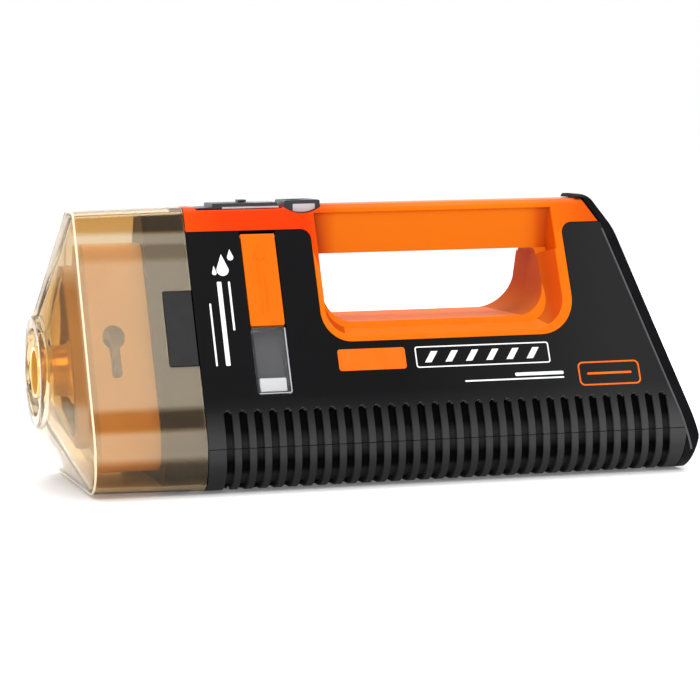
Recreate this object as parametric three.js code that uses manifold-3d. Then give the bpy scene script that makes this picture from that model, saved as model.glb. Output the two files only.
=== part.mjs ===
// Handheld fog machine: a black two-shell body of tent-shaped section, an orange handle frame with a
// through grip opening, an amber push-on nozzle cap over a fog duct, and the working parts inside.
// Millimetres, +Z up. The nozzle points to -X, the filler and level window are on the -Y side.
// The origin is on the floor, under the middle of the machine.
import * as THREE from "three";
import { mergeVertices } from "three/addons/utils/BufferGeometryUtils.js";
import Module from "manifold-3d";

const wasm = await Module();
wasm.setup();

// ---------- driving dimensions ----------
const NOSE_X = -145; // front face of the nozzle lip
const RIM_X = -128; // where the cap's cone starts
const COLLAR_X = -97.3; // front of the collar that the cap pushes onto
const JOINT_X = -79; // front edge of the shells
const TRAY_Z = 0.8; // underside of the base tray; the feet stand 0.8 below it
const SPLIT_Z = 20; // parting line of tray and shells
const BAND_Z = 111; // lower edge of the orange top band
const TOP_Z = 121.5; // top of the handle
const BAND_HALF = 15; // half width of the body at BAND_Z
const BODY_HALF = 54; // half width of the body at its widest
const DRAFT = 0.4467; // half width gained per mm of height lost on the sides
const WALL = 2.8;
const GAP = 0.3; // clearance between pieces that touch
const REAR_X = 144.7; // tail, at REAR_Z
const REAR_Z = 18;
const REAR_SLOPE = 0.2872; // the rear leans forward by this much per mm of height
const COVER_DEEP = 4.6; // how far the rear cover reaches forward
const COVER_FOOT_X = 136.2; // front edge of the rear cover under the tray
const NOZZLE_Z = 51; // height of the outlet axis
const FAR = 400; // longer than anything here

const DRAFT_ANGLE = Math.atan(DRAFT);
const REAR_ANGLE = Math.atan(REAR_SLOPE);
const halfAt = (z) => BAND_HALF + DRAFT * (BAND_Z - z);
const rearAt = (z) => REAR_X - REAR_SLOPE * (z - REAR_Z);

// ---------- materials ----------
const material = (color, roughness, metalness = 0, opacity = 1) =>
  new THREE.MeshStandardMaterial({ color, roughness, metalness, opacity, transparent: opacity < 1 });
const black = material(0x242527, 0.55);
const glossBlack = material(0x101114, 0.2);
const orange = material(0xff6d10, 0.45);
const amber = material(0xdd9c45, 0.15, 0, 0.45);
const clear = material(0xc9cccd, 0.1, 0, 0.4);
const milky = material(0xb9bcbc, 0.4);
const white = material(0xf2f2ee, 0.5);
const rubber = material(0x18181a, 0.85);
const brass = material(0xc98b2e, 0.3, 1);
const steel = material(0xb8bbbe, 0.3, 1);
const aluminium = material(0xa9acb0, 0.4, 1);
const felt = material(0xd8d2c4, 0.95);
const boardGreen = material(0x1d5a38, 0.6);
const cellBlue = material(0x2b6f9e, 0.45);

// ---------- solids: closed three.js geometry joined and cut by manifold-3d ----------
function solid(geometry) {
  const bare = geometry.index ? geometry.toNonIndexed() : geometry.clone();
  bare.deleteAttribute("normal");
  bare.deleteAttribute("uv");
  const merged = mergeVertices(bare, 1e-4);
  return new wasm.Manifold(
    new wasm.Mesh({
      numProp: 3,
      vertProperties: new Float32Array(merged.attributes.position.array),
      triVerts: new Uint32Array(merged.index.array),
    }),
  );
}

const join = (...solids) => solids.reduce((a, b) => a.add(b));
const cut = (first, ...others) => others.reduce((a, b) => a.subtract(b), first);
const common = (...solids) => solids.reduce((a, b) => a.intersect(b));

function mesh(name, shape, look) {
  const { vertProperties, numProp, numVert, triVerts } = shape.getMesh();
  const positions = new Float32Array(numVert * 3);
  for (let i = 0; i < numVert; i++) positions.set(vertProperties.subarray(i * numProp, i * numProp + 3), i * 3);
  const geometry = new THREE.BufferGeometry();
  geometry.setAttribute("position", new THREE.BufferAttribute(positions, 3));
  geometry.setIndex(new THREE.BufferAttribute(triVerts, 1));
  geometry.computeVertexNormals();
  const made = new THREE.Mesh(geometry, look);
  made.name = name;
  return made;
}

function place(object, x, y, z) {
  object.position.set(x, y, z);
  return object;
}

// ---------- outlines ----------
// A closed counter-clockwise outline of corners [x, y, radius], moved inwards by inset (outwards if negative).
function outline(corners, inset = 0) {
  const count = corners.length;
  const at = (i) => corners[(i + count) % count];
  const edge = (i) => {
    const direction = new THREE.Vector2(at(i + 1)[0] - at(i)[0], at(i + 1)[1] - at(i)[1]).normalize();
    const point = new THREE.Vector2(at(i)[0] - direction.y * inset, at(i)[1] + direction.x * inset);
    return { point, direction };
  };
  const shape = new THREE.Shape();
  for (let i = 0; i < count; i++) {
    const before = edge(i - 1);
    const after = edge(i);
    const turn = before.direction.cross(after.direction);
    const along = after.point.clone().sub(before.point).cross(after.direction) / turn;
    const corner = before.point.clone().addScaledVector(before.direction, along);
    const radius = at(i)[2] ? Math.max(0, at(i)[2] - Math.sign(turn) * inset) : 0;
    const angle = Math.acos(THREE.MathUtils.clamp(before.direction.dot(after.direction), -1, 1));
    const start = corner.clone().addScaledVector(before.direction, -radius * Math.tan(angle / 2));
    if (i === 0) shape.moveTo(start.x, start.y);
    else shape.lineTo(start.x, start.y);
    if (radius < 0.05) continue;
    const side = Math.sign(turn);
    const inward = new THREE.Vector2(-before.direction.y * side, before.direction.x * side);
    const centre = start.clone().addScaledVector(inward, radius);
    const from = Math.atan2(start.y - centre.y, start.x - centre.x);
    shape.absarc(centre.x, centre.y, radius, from, from + side * angle, side < 0);
  }
  shape.closePath();
  return shape;
}

const rectangle = (x0, y0, x1, y1, radius = 0) => [
  [x0, y0, radius],
  [x1, y0, radius],
  [x1, y1, radius],
  [x0, y1, radius],
];

function extrude(shape, depth, segments) {
  return new THREE.ExtrudeGeometry(shape, { depth, bevelEnabled: false, curveSegments: segments });
}

// A section in Y and Z, run from x0 to x1.
function alongX(shape, x0, x1, segments = 3) {
  const basis = new THREE.Matrix4().makeBasis(
    new THREE.Vector3(0, 1, 0),
    new THREE.Vector3(0, 0, 1),
    new THREE.Vector3(1, 0, 0),
  );
  return solid(extrude(shape, x1 - x0, segments).applyMatrix4(basis.setPosition(x0, 0, 0)));
}

// A side view in X and Z, run from y0 to y1.
function alongY(shape, y0 = -FAR / 2, y1 = FAR / 2, segments = 4) {
  return solid(extrude(shape, y1 - y0, segments).rotateX(Math.PI / 2).translate(0, y1, 0));
}

function block(x0, x1, y0, y1, z0, z1) {
  const geometry = new THREE.BoxGeometry(x1 - x0, y1 - y0, z1 - z0);
  return solid(geometry.translate((x0 + x1) / 2, (y0 + y1) / 2, (z0 + z1) / 2));
}

// A round bar along X, or along Z.
function barX(radius, x0, x1, y, z, sides = 24) {
  const geometry = new THREE.CylinderGeometry(radius, radius, x1 - x0, sides);
  return solid(geometry.rotateZ(Math.PI / 2).translate((x0 + x1) / 2, y, z));
}

function barZ(radius, x, y, z0, z1, sides = 20) {
  const geometry = new THREE.CylinderGeometry(radius, radius, z1 - z0, sides);
  return solid(geometry.rotateX(Math.PI / 2).translate(x, y, (z0 + z1) / 2));
}

// A turned piece on the outlet axis from [x, radius] points.
function turnedX(points, sides = 32) {
  const profile = points.map(([x, radius]) => new THREE.Vector2(radius, x));
  const geometry = new THREE.LatheGeometry([...profile, profile[0].clone()], sides);
  geometry.rotateZ(-Math.PI / 2).translate(0, 0, NOZZLE_Z);
  const made = solid(geometry);
  return made.volume() > 0 ? made : solid(flipped(geometry));
}

function flipped(geometry) {
  const bare = geometry.toNonIndexed();
  const positions = bare.attributes.position;
  for (let i = 0; i < positions.count; i += 3) {
    const a = new THREE.Vector3().fromBufferAttribute(positions, i + 1);
    const b = new THREE.Vector3().fromBufferAttribute(positions, i + 2);
    positions.setXYZ(i + 1, b.x, b.y, b.z);
    positions.setXYZ(i + 2, a.x, a.y, a.z);
  }
  return bare;
}

// Rings of equally many points joined in turn, with flat ends.
function loft(rings) {
  const count = rings[0].length;
  const positions = rings.flat().flatMap((p) => [p.x, p.y, p.z]);
  const index = [];
  for (let r = 0; r + 1 < rings.length; r++)
    for (let i = 0; i < count; i++) {
      const [a, b] = [r * count + i, r * count + ((i + 1) % count)];
      index.push(a, b, b + count, a, b + count, a + count);
    }
  const middle = (ring) => ring.reduce((s, p) => s.add(p), new THREE.Vector3()).divideScalar(count);
  for (const [r, order] of [
    [0, -1],
    [rings.length - 1, 1],
  ]) {
    const hub = positions.length / 3;
    positions.push(...middle(rings[r]).toArray());
    for (let i = 0; i < count; i++) {
      const [a, b] = [r * count + i, r * count + ((i + 1) % count)];
      index.push(...(order > 0 ? [a, b, hub] : [b, a, hub]));
    }
  }
  const geometry = new THREE.BufferGeometry();
  geometry.setAttribute("position", new THREE.Float32BufferAttribute(positions, 3));
  geometry.setIndex(index);
  const made = solid(geometry);
  return made.volume() > 0 ? made : solid(flipped(geometry));
}

// Points of an outline, none further apart than step.
function evenPoints(shape, step, segments = 5) {
  const points = shape.getPoints(segments);
  const kept = points.filter((p, i) => p.distanceTo(points[(i + 1) % points.length]) > 1e-3);
  return kept.flatMap((p, i) => {
    const next = kept[(i + 1) % kept.length];
    const pieces = Math.max(1, Math.ceil(p.distanceTo(next) / step));
    return Array.from({ length: pieces }, (_, k) => p.clone().lerp(next, k / pieces));
  });
}

// A tube of soft hose or wire through the given points.
function tube(name, points, radius, steps, look) {
  const path = new THREE.CatmullRomCurve3(points.map((p) => new THREE.Vector3(...p)));
  const section = new THREE.Shape().absarc(0, 0, radius, 0, Math.PI * 2);
  const geometry = new THREE.ExtrudeGeometry(section, { steps, extrudePath: path, curveSegments: 4 });
  return mesh(name, solid(geometry), look);
}

// ---------- the body's form ----------
const KNEE_Z = BAND_Z - (BODY_HALF - BAND_HALF) / DRAFT;

// Corners of the tent-shaped section, with a top at height top.
function sectionCorners(top = TOP_Z) {
  const half = halfAt(top);
  return [
    [BODY_HALF, TRAY_Z, 14],
    [BODY_HALF, KNEE_Z, 28],
    [half, top, 5],
    [-half, top, 5],
    [-BODY_HALF, KNEE_Z, 28],
    [-BODY_HALF, TRAY_Z, 14],
  ];
}
const section = (inset = 0, top = TOP_Z) => outline(sectionCorners(top), inset);
const bodyBlock = (inset, x0, x1, top) => alongX(section(inset, top), x0, x1);
const skin = (thick, x0 = JOINT_X, x1 = 160) => cut(bodyBlock(0, x0, x1), bodyBlock(thick, x0 - 1, x1 + 1));

// The frames that lie on the slanted left side and on the rear face: x and y in the surface, z out of it.
function sideFrame(x, z) {
  const group = new THREE.Group();
  group.position.set(x, -halfAt(z), z);
  group.rotation.x = Math.PI / 2 - DRAFT_ANGLE;
  group.updateMatrix();
  return group;
}

function rearFrame(z) {
  const group = new THREE.Group();
  const up = new THREE.Vector3(-Math.sin(REAR_ANGLE), 0, Math.cos(REAR_ANGLE));
  const out = new THREE.Vector3(Math.cos(REAR_ANGLE), 0, Math.sin(REAR_ANGLE));
  group.quaternion.setFromRotationMatrix(new THREE.Matrix4().makeBasis(new THREE.Vector3(0, 1, 0), up, out));
  group.position.set(rearAt(z), 0, z);
  group.updateMatrix();
  return group;
}

const inFrame = (frame, shape) => shape.transform(frame.matrix.toArray());
const slope = (rise) => rise / Math.cos(DRAFT_ANGLE); // a rise in Z, measured up the slanted side

// ---------- grip opening ----------
// A straight tunnel across the body, and on each side a flared recess that leaves a narrow grip bar above.
const GRIP_FLOOR_Z = 99.8; // underside of the grip
const TUNNEL = [
  [-19.5, 70.5, 12],
  [83, 70.5, 15],
  [83, GRIP_FLOOR_Z, 2],
  [-19.5, GRIP_FLOOR_Z, 2],
];
const GRIP_HALF = 10.6;
const RECESS_FLOOR_HALF = 29; // half width between the recesses at the tunnel's floor
const RECESS_TOP_Z = 118;
const FLARE_DEEP = 6;
const RIM_CORNERS = [
  [-20.5, 64.8, 11.5],
  [90.5, 64.8, 15],
  [90.5, RECESS_TOP_Z, 4],
  [-20.5, RECESS_TOP_Z, 4],
];
const FLARED_CORNERS = [
  [-19.5, 72.2, 12],
  [83, 72.2, 15],
  [83, RECESS_TOP_Z, 4],
  [-19.5, RECESS_TOP_Z, 4],
];
// The pocket beside the grip, at the surface and at the grip's face.
const POCKET_RIM = rectangle(-20.5, GRIP_FLOOR_Z, 90.5, RECESS_TOP_Z, 0);
const POCKET_BACK = rectangle(-18.5, GRIP_FLOOR_Z, 88.3, RECESS_TOP_Z, 0);

// A hollow in the slanted left side that narrows from one outline to another over the flare's depth.
function flare(rimCorners, deepCorners, grow) {
  const onSlope = (corners) => corners.map(([x, z, r]) => [x, slope(z), r]);
  const rim = outline(onSlope(rimCorners), -grow).getPoints(4);
  const deep = outline(onSlope(deepCorners), -grow).getPoints(4);
  const ring = (depth) =>
    rim.map((p, i) => {
      const spread = deep[i].clone().lerp(p, Math.max(0, 1 - depth / FLARE_DEEP));
      return new THREE.Vector3(spread.x, spread.y, -depth);
    });
  return inFrame(sideFrame(0, 0), loft([-3, 0, FLARE_DEEP, 14].map(ring)));
}

function leftRecess(grow) {
  const lower = common(
    flare(RIM_CORNERS, FLARED_CORNERS, grow),
    block(-FAR, FAR, -FAR, FAR, 0, GRIP_FLOOR_Z + Math.min(grow, 0.1)),
  );
  const pocket = flare(POCKET_RIM, POCKET_BACK, grow);
  const outside = [
    [-FAR, 200, 0],
    [-FAR, TUNNEL[0][1] - 20, 0],
    [-RECESS_FLOOR_HALF - 10 + grow, TUNNEL[0][1] - 20, 0],
    [-RECESS_FLOOR_HALF + grow, TUNNEL[0][1], 0],
    [-GRIP_HALF + grow, GRIP_FLOOR_Z, 0],
    [-GRIP_HALF + grow, 200, 0],
  ];
  return common(join(lower, pocket), alongX(outline(outside), -FAR / 2, FAR / 2));
}

function opening(grow = 0) {
  const left = leftRecess(grow);
  return join(alongY(outline(TUNNEL, -grow)), left, left.mirror([0, 1, 0]));
}

// ---------- border between black shells and orange frame, in side view ----------
const CUT_FRONT_X = -23;
const CUT_REAR_X = 94.2;
const CUT_FLOOR_Z = 62.4;
const SHELL_CORNERS = [
  [JOINT_X, SPLIT_Z, 0],
  [rearAt(SPLIT_Z) - COVER_DEEP, SPLIT_Z, 0],
  [rearAt(BAND_Z) - COVER_DEEP, BAND_Z, 0],
  [CUT_REAR_X, BAND_Z, 5],
  [CUT_REAR_X, CUT_FLOOR_Z, 17],
  [CUT_FRONT_X, CUT_FLOOR_Z, 13],
  [CUT_FRONT_X, BAND_Z, 4.5],
  [JOINT_X, BAND_Z, 0],
];
const ORANGE_CORNERS = [
  [JOINT_X, BAND_Z, 0],
  [CUT_FRONT_X, BAND_Z, 4.5],
  [CUT_FRONT_X, CUT_FLOOR_Z, 13],
  [CUT_REAR_X, CUT_FLOOR_Z, 17],
  [CUT_REAR_X, BAND_Z, 5],
  [rearAt(BAND_Z) - COVER_DEEP - 1, BAND_Z, 0],
  [106.6, 120.2, 3],
  [103.2, TOP_Z + 8, 0],
  [JOINT_X, TOP_Z + 8, 0],
];

// ---------- vent grooves ----------
const VENT_COUNT = 31;
const VENT_PITCH = 6.626;
const FIRST_VENT_X = -69.3;
const VENT_WIDE = 3.4;
const VENT_DEEP = 1.8;
const VENT_TOP_Z = 36;
const VENT_INNER_Y = 34; // the grooves run this far in under the tray

function ventGrooves() {
  const ring = cut(alongX(section(-2), -80, 140, 1), alongX(section(VENT_DEEP), -81, 141, 2));
  const slabs = Array.from({ length: VENT_COUNT }, (_, i) => {
    const x = FIRST_VENT_X + i * VENT_PITCH;
    return block(x - VENT_WIDE / 2, x + VENT_WIDE / 2, -80, 80, -5, VENT_TOP_Z);
  });
  const grooves = common(ring, wasm.Manifold.union(slabs));
  return cut(grooves, block(-90, 150, -VENT_INNER_Y, VENT_INNER_Y, -5, 60));
}

// ---------- filler slot and level window, on the left side ----------
const SLOT_X = -47.1; // middle of flap and window
const SLOT_HALF = 8.1;
const WINDOW_Z = [41.6, 70];
const FLAP_Z = [70.6, 110.3];
const FILLER_Z = 84; // height of the filler neck
const NECK = { outer: 7.8, bore: 6.3 };
const FLAP_HALF = 7.6;
const FLAP_THICK = 2.6;
const HINGE_BACK = 1.7; // hinge axis below the flap's top edge and FLAP_THICK / 2 under the surface

// ---------- housing ----------
const SCREW_XS = [-66, 122];
const SCREW_Y = 38;
const REAR_SCREW = { y: 32, z: 46 };

// A lug on the inside of a shell for a screw.
const lug = (x0, x1, y0, z0, z1, side) => block(x0, x1, side > 0 ? y0 : -56, side > 0 ? 56 : -y0, z0, z1);

function sideShell(side) {
  const half = side < 0 ? block(-200, 200, -200, 0, -10, 200) : block(-200, 200, 0, 200, -10, 200);
  const face = alongY(outline(SHELL_CORNERS, GAP / 2));
  const arms = SCREW_XS.map((x) => lug(x - 4, x + 4, SCREW_Y - 4, SPLIT_Z + GAP, SPLIT_Z + 8, side));
  const inside = bodyBlock(WALL - 0.5, JOINT_X + GAP, 139);
  const rearArm = common(lug(112, 131, REAR_SCREW.y - 4, 41, 51, side), face);
  const body = join(common(skin(WALL), face, half), ...arms.map((a) => common(a, inside, face)), common(rearArm, inside));
  const holes = SCREW_XS.map((x) => barZ(1.8, x, side * SCREW_Y, 10, 27, 12));
  const rearHole = inFrame(rearFrame(REAR_SCREW.z), barZ(1.8, side * REAR_SCREW.y, 0, -17, 5, 12));
  return cut(body, ventGrooves(), ...holes, rearHole);
}

function leftShell() {
  const slotFrame = sideFrame(SLOT_X, WINDOW_Z[0]);
  const tall = slope(BAND_Z + 2 - WINDOW_Z[0]);
  const slot = extrude(outline(rectangle(-SLOT_HALF, 0, SLOT_HALF, tall, 1.5)), 20, 3).translate(0, 0, -12);
  const hinge = flapHinge();
  const pinHole = barX(0.8, SLOT_X - SLOT_HALF - 1.2, SLOT_X + SLOT_HALF + 1.2, hinge.y, hinge.z, 12);
  return mesh("side_shell_left", cut(sideShell(-1), inFrame(slotFrame, solid(slot)), pinHole), black);
}

const rightShell = () => mesh("side_shell_right", sideShell(1), black);

function baseTray() {
  const shape = [
    [JOINT_X, TRAY_Z - 5, 0],
    [COVER_FOOT_X, TRAY_Z - 5, 0],
    [rearAt(SPLIT_Z) - COVER_DEEP, SPLIT_Z, 0],
    [JOINT_X, SPLIT_Z, 0],
  ];
  const shell = common(skin(WALL), alongY(outline(shape, GAP / 2)));
  const posts = SCREW_XS.flatMap((x) => [-1, 1].map((s) => barZ(4, x, s * SCREW_Y, TRAY_Z + 1, SPLIT_Z - 0.2)));
  const bores = SCREW_XS.flatMap((x) =>
    [-1, 1].flatMap((s) => [barZ(1.8, x, s * SCREW_Y, 0, 30, 12), barZ(3.6, x, s * SCREW_Y, 0, 3.2)]),
  );
  const pads = FEET.map(([x, y]) => barZ(FOOT_RADIUS + GAP, x, y, 0, TRAY_Z + 1.2, 28));
  return mesh("base_tray", cut(join(shell, ...posts), ventGrooves(), ...bores, ...pads), black);
}

// The cover closes the slanted rear and rolls over the top corner, standing 2 above the handle there.
function rearCover() {
  const proud = 2;
  const side = [
    [COVER_FOOT_X + GAP / 2, TRAY_Z - 5, 0],
    [140.2, TRAY_Z - 5, 0],
    [141.4, TRAY_Z, 1],
    [REAR_X + 0.5, REAR_Z - 2, 6],
    [rearAt(BAND_Z - 3), BAND_Z - 3, 25],
    [109, TOP_Z + proud, 7],
    [103.2, TOP_Z + proud, 0],
    [103.2, TOP_Z + GAP, 0],
    [106.9, TOP_Z + GAP, 0],
    [107.4, 120, 2],
    [rearAt(BAND_Z) - COVER_DEEP + GAP / 2, BAND_Z, 0],
    [rearAt(SPLIT_Z) - COVER_DEEP + GAP / 2, SPLIT_Z, 0],
  ];
  const whole = common(alongY(outline(side)), bodyBlock(0, 90, 160, TOP_Z + proud));
  const pocketSide = [
    [110, TRAY_Z + 4, 0],
    [COVER_FOOT_X + 1.8, TRAY_Z + 4, 0],
    [rearAt(REAR_Z) - 3.4, REAR_Z, 0],
    [rearAt(108) - 2.8, 108, 0],
    [100, 108, 0],
  ];
  const pocket = common(alongY(outline(pocketSide)), bodyBlock(4.5, 90, 160));
  const chargeRecess = extrude(outline(rectangle(-CHARGE_HALF - GAP, -CHARGE_HALF - 1.5, CHARGE_HALF + GAP, CHARGE_HALF + GAP, 1)), 6, 2);
  const charge = inFrame(rearFrame(CHARGE_Z), join(solid(chargeRecess.translate(0, 0, -1.7)), barZ(5.9, 0, 0, -12, 3)));
  const backing = inFrame(rearFrame(CHARGE_Z), block(-12, 12, -12, 12, -4.4, -2));
  const screws = [-1, 1].map((s) =>
    inFrame(rearFrame(REAR_SCREW.z), join(barZ(3.6, s * REAR_SCREW.y, 0, -1.9, 3), barZ(1.8, s * REAR_SCREW.y, 0, -9, 3, 12))),
  );
  return mesh("rear_cover", cut(join(cut(whole, pocket), backing), charge, ...screws), black);
}

// One half of the orange frame: top band, hollow grip and the liner of the grip opening.
function handleHalf(name, side) {
  const region = alongY(outline(ORANGE_CORNERS, GAP / 2));
  const bodyFull = bodyBlock(0, JOINT_X, 160);
  const liner = common(opening(WALL), bodyFull, region);
  const frame = cut(join(common(skin(WALL), region), liner), opening(0));
  const half = side < 0 ? block(-200, 200, -200, -0.1, -10, 200) : block(-200, 200, 0.1, 200, -10, 200);
  const button = block(BUTTON_X[0] - 0.4, BUTTON_X[1] + 0.4, -BUTTON_HALF - 0.4, BUTTON_HALF + 0.4, 112, 130);
  const barrel = new THREE.CylinderGeometry(SCOOP.radius, SCOOP.radius, 60, 64);
  const scoop = solid(barrel.translate(SCOOP.x, 0, SCOOP.z));
  const ledge = block(LEDGE_X[0], LEDGE_X[1], -30, 30, LEDGE_Z, 130);
  return mesh(name, cut(common(frame, half), button, scoop, ledge), orange);
}

// ---------- front: collar, cap, duct and outlet ----------
const NOTCH = { x: -92.3, z0: 54.6, z1: 86.4 };

function frontCollar() {
  const sleeve = WALL + GAP;
  const tubeWall = cut(bodyBlock(sleeve, COLLAR_X, -72), bodyBlock(sleeve + 2.5, COLLAR_X + 2.5, -71));
  const key = common(
    cut(bodyBlock(0.35, NOTCH.x + 0.4, JOINT_X - 0.4), bodyBlock(sleeve + 0.5, -100, -70)),
    block(-100, -70, -80, 80, NOTCH.z0 + 0.4, NOTCH.z1 - 0.4),
  );
  return mesh("front_collar", cut(join(tubeWall, key), barX(17.6, -100, -90, 0, NOZZLE_Z, 32)), black);
}

// A ring of points on the section, drawn in by inset and shrunk by share about mid height.
function sectionRing(corners, inset, x, share = 1) {
  const middle = 60;
  return evenPoints(outline(corners, inset), 7).map(
    (p) => new THREE.Vector3(x, p.x * share, middle + (p.y - middle) * share),
  );
}

// The circle on the outlet axis whose points lie in the same directions as those of ring.
function circleRing(ring, radius, x) {
  return ring.map((p) => {
    const angle = Math.atan2(p.z - NOZZLE_Z, p.y);
    return new THREE.Vector3(x, radius * Math.cos(angle), NOZZLE_Z + radius * Math.sin(angle));
  });
}

const CAP_WALL = 2.4;
const LIP = { bore: 19, radius: 24.5 };

function nozzleCap() {
  const corners = sectionCorners();
  const taper = 0.985;
  const back = sectionRing(corners, 0, JOINT_X - GAP);
  const rim = sectionRing(corners, 0, RIM_X, taper);
  const outside = loft([
    back,
    rim,
    circleRing(rim, LIP.radius, NOSE_X + 0.7),
    circleRing(rim, LIP.radius - 0.7, NOSE_X),
  ]);
  const innerBack = sectionRing(corners, CAP_WALL, JOINT_X + 1);
  const innerRim = sectionRing(corners, CAP_WALL, RIM_X + 0.8, taper);
  const inside = loft([innerBack, innerRim, circleRing(innerRim, LIP.radius - 2, NOSE_X + 3.6)]);
  const notch = block(NOTCH.x, JOINT_X + 5, -80, 80, NOTCH.z0, NOTCH.z1);
  const bore = barX(LIP.bore, -160, -135, 0, NOZZLE_Z, 40);
  return mesh("nozzle_cap", cut(outside, inside, bore, notch), amber);
}

const DUCT_CORNERS = [
  [44, 10, 9],
  [44, 28, 20],
  [7.4, 106, 6],
  [-7.4, 106, 6],
  [-44, 28, 20],
  [-44, 10, 9],
];

// A box with a smaller box in front of it, from which a funnel narrows to the outlet.
function fogDuct() {
  const wall = 1.6;
  const small = 0.8;
  const outer = (x, share = 1) => sectionRing(DUCT_CORNERS, 0, x, share);
  const inner = (x, share = 1) => sectionRing(DUCT_CORNERS, wall, x, share);
  const end = (ring, radius, x) => circleRing(ring, radius, x);
  const outside = loft([
    outer(COLLAR_X - GAP),
    outer(-124),
    outer(-126.5, small),
    outer(-131.4, small),
    end(outer(0, small), 18, -139.6),
  ]);
  const inside = loft([
    inner(COLLAR_X + 1),
    inner(-123),
    inner(-125.7, small),
    inner(-130.4, small),
    end(inner(0, small), 16.4, -138.2),
  ]);
  const keyhole = join(
    alongY(outline(rectangle(-116, 50, -111.4, 67, 2.2)), -100, 100),
    solid(new THREE.CylinderGeometry(5, 5, 200, 20).translate(-113.7, 0, 67)),
  );
  const hole = barX(12, -150, -130, 0, NOZZLE_Z, 32);
  return mesh("fog_duct", cut(outside, inside, keyhole, hole), amber);
}

const outletTube = () =>
  mesh(
    "outlet_tube",
    turnedX([
      [-144.4, 9.6],
      [-144.4, 11.4],
      [-129, 11.4],
      [-129, 15],
      [-126.6, 15],
      [-126.6, 11.4],
      [-119.4, 11.4],
      [-119.4, 9.6],
    ]),
    brass,
  );

function heater() {
  const core = mesh("heater_core", barX(13, -118.6, -76, 0, NOZZLE_Z, 28), aluminium);
  const tip = mesh(
    "spray_tip",
    turnedX([[-123, 0], [-123, 1.6], [-121.5, 4], [-119, 4], [-119, 0]], 20),
    brass,
  );
  const jacket = cut(barX(17.2, -112, -79, 0, NOZZLE_Z), barX(13.3, -113, -78, 0, NOZZLE_Z));
  const plate = cut(
    alongX(outline(rectangle(-24, NOZZLE_Z - 22, 24, NOZZLE_Z + 22, 5)), -78.4, -76.3),
    barX(13.3, -80, -75, 0, NOZZLE_Z),
  );
  return [core, tip, mesh("heater_jacket", jacket, felt), mesh("heater_bracket", plate, steel)];
}

// ---------- oil tank, filler and level ----------
const TANK_X = [-60.5, -33.5];
const TANK_INSET = 8.2;
const inset = (z) => halfAt(z) - TANK_INSET / Math.cos(DRAFT_ANGLE);
const TANK_CORNERS = [
  [inset(37), 37, 3],
  [inset(104), 104, 3],
  [-inset(104), 104, 3],
  [-inset(37), 37, 3],
];

function oilTank() {
  const shell = cut(
    alongX(outline(TANK_CORNERS), ...TANK_X),
    alongX(outline(TANK_CORNERS, 1.8), TANK_X[0] + 1.8, TANK_X[1] - 1.8),
  );
  const neck = inFrame(sideFrame(SLOT_X, FILLER_Z), barZ(NECK.outer, 0, 0, -TANK_INSET - 1, -3.4, 24));
  const bore = inFrame(sideFrame(SLOT_X, FILLER_Z), barZ(NECK.bore, 0, 0, -TANK_INSET - 6, 0, 24));
  return mesh("oil_tank", cut(join(shell, neck), bore), milky);
}

// The hinge axis of the filler flap, in the body frame.
function flapHinge() {
  const frame = sideFrame(SLOT_X, FLAP_Z[1]);
  return new THREE.Vector3(0, -HINGE_BACK, -FLAP_THICK / 2).applyMatrix4(frame.matrix);
}

function filler() {
  const frame = sideFrame(SLOT_X, FLAP_Z[0]);
  const top = slope(FLAP_Z[1] - FLAP_Z[0]) - HINGE_BACK;
  const leaf = extrude(outline(rectangle(-FLAP_HALF, 0, FLAP_HALF, top, 0.8)), FLAP_THICK, 2);
  const barrel = barX(FLAP_THICK / 2 + 0.1, -FLAP_HALF, FLAP_HALF, top, -FLAP_THICK / 2, 16);
  const bore = barX(0.8, -20, 20, top, -FLAP_THICK / 2, 12);
  frame.add(mesh("filler_flap", cut(join(solid(leaf.translate(0, 0, -FLAP_THICK)), barrel), bore), orange));
  const plug = barZ(NECK.bore - 0.6, 0, slope(FILLER_Z - FLAP_Z[0]), -6.6, -FLAP_THICK - GAP, 20);
  frame.add(mesh("filler_plug", plug, rubber));
  const pin = barX(0.55, -SLOT_HALF - 0.9, SLOT_HALF + 0.9, 0, 0, 12);
  frame.add(place(mesh("flap_pin", pin, steel), 0, top, -FLAP_THICK / 2));
  return frame;
}

const FLOAT = { wide: 12, tall: 6.2, thick: 2.6 };

function levelGauge() {
  const frame = sideFrame(SLOT_X, WINDOW_Z[0]);
  const tall = slope(WINDOW_Z[1] - WINDOW_Z[0]);
  const half = SLOT_HALF - GAP;
  const shell = extrude(outline(rectangle(-half, GAP, half, tall, 1.3)), 6.4, 3).translate(0, 0, -6.6);
  const room = extrude(outline(rectangle(-half + 1.3, GAP + 1.6, half - 1.3, tall - 1.4, 0.6)), 4.6, 2).translate(0, 0, -6.7);
  frame.add(mesh("level_window", cut(solid(shell), solid(room)), clear));
  const float = extrude(outline(rectangle(-FLOAT.wide / 2, 0, FLOAT.wide / 2, FLOAT.tall, 0.6)), FLOAT.thick, 2);
  frame.add(place(mesh("level_float", solid(float), white), 0, 2.3, -5.2));
  return frame;
}

// ---------- controls on top ----------
// The top is stepped down to LEDGE_Z for the control plate.
const LEDGE_X = [-73.2, -34];
const LEDGE_Z = 120.2;
const PANEL_Z = LEDGE_Z + GAP;
const PANEL_TOP_Z = 123;
const PANEL_HALF = 8.6;
const BUTTON_X = [-32.9, -16.6];
const BUTTON_HALF = 8.6;
const BUTTON_TOP_Z = 123.7;
const SCOOP = { x: -25, z: 132.2, radius: 14.3 }; // thumb scoop in the shoulders beside the button
const KNOB_X = -50.6;
const KNOB_TRAVEL = 8;

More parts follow.
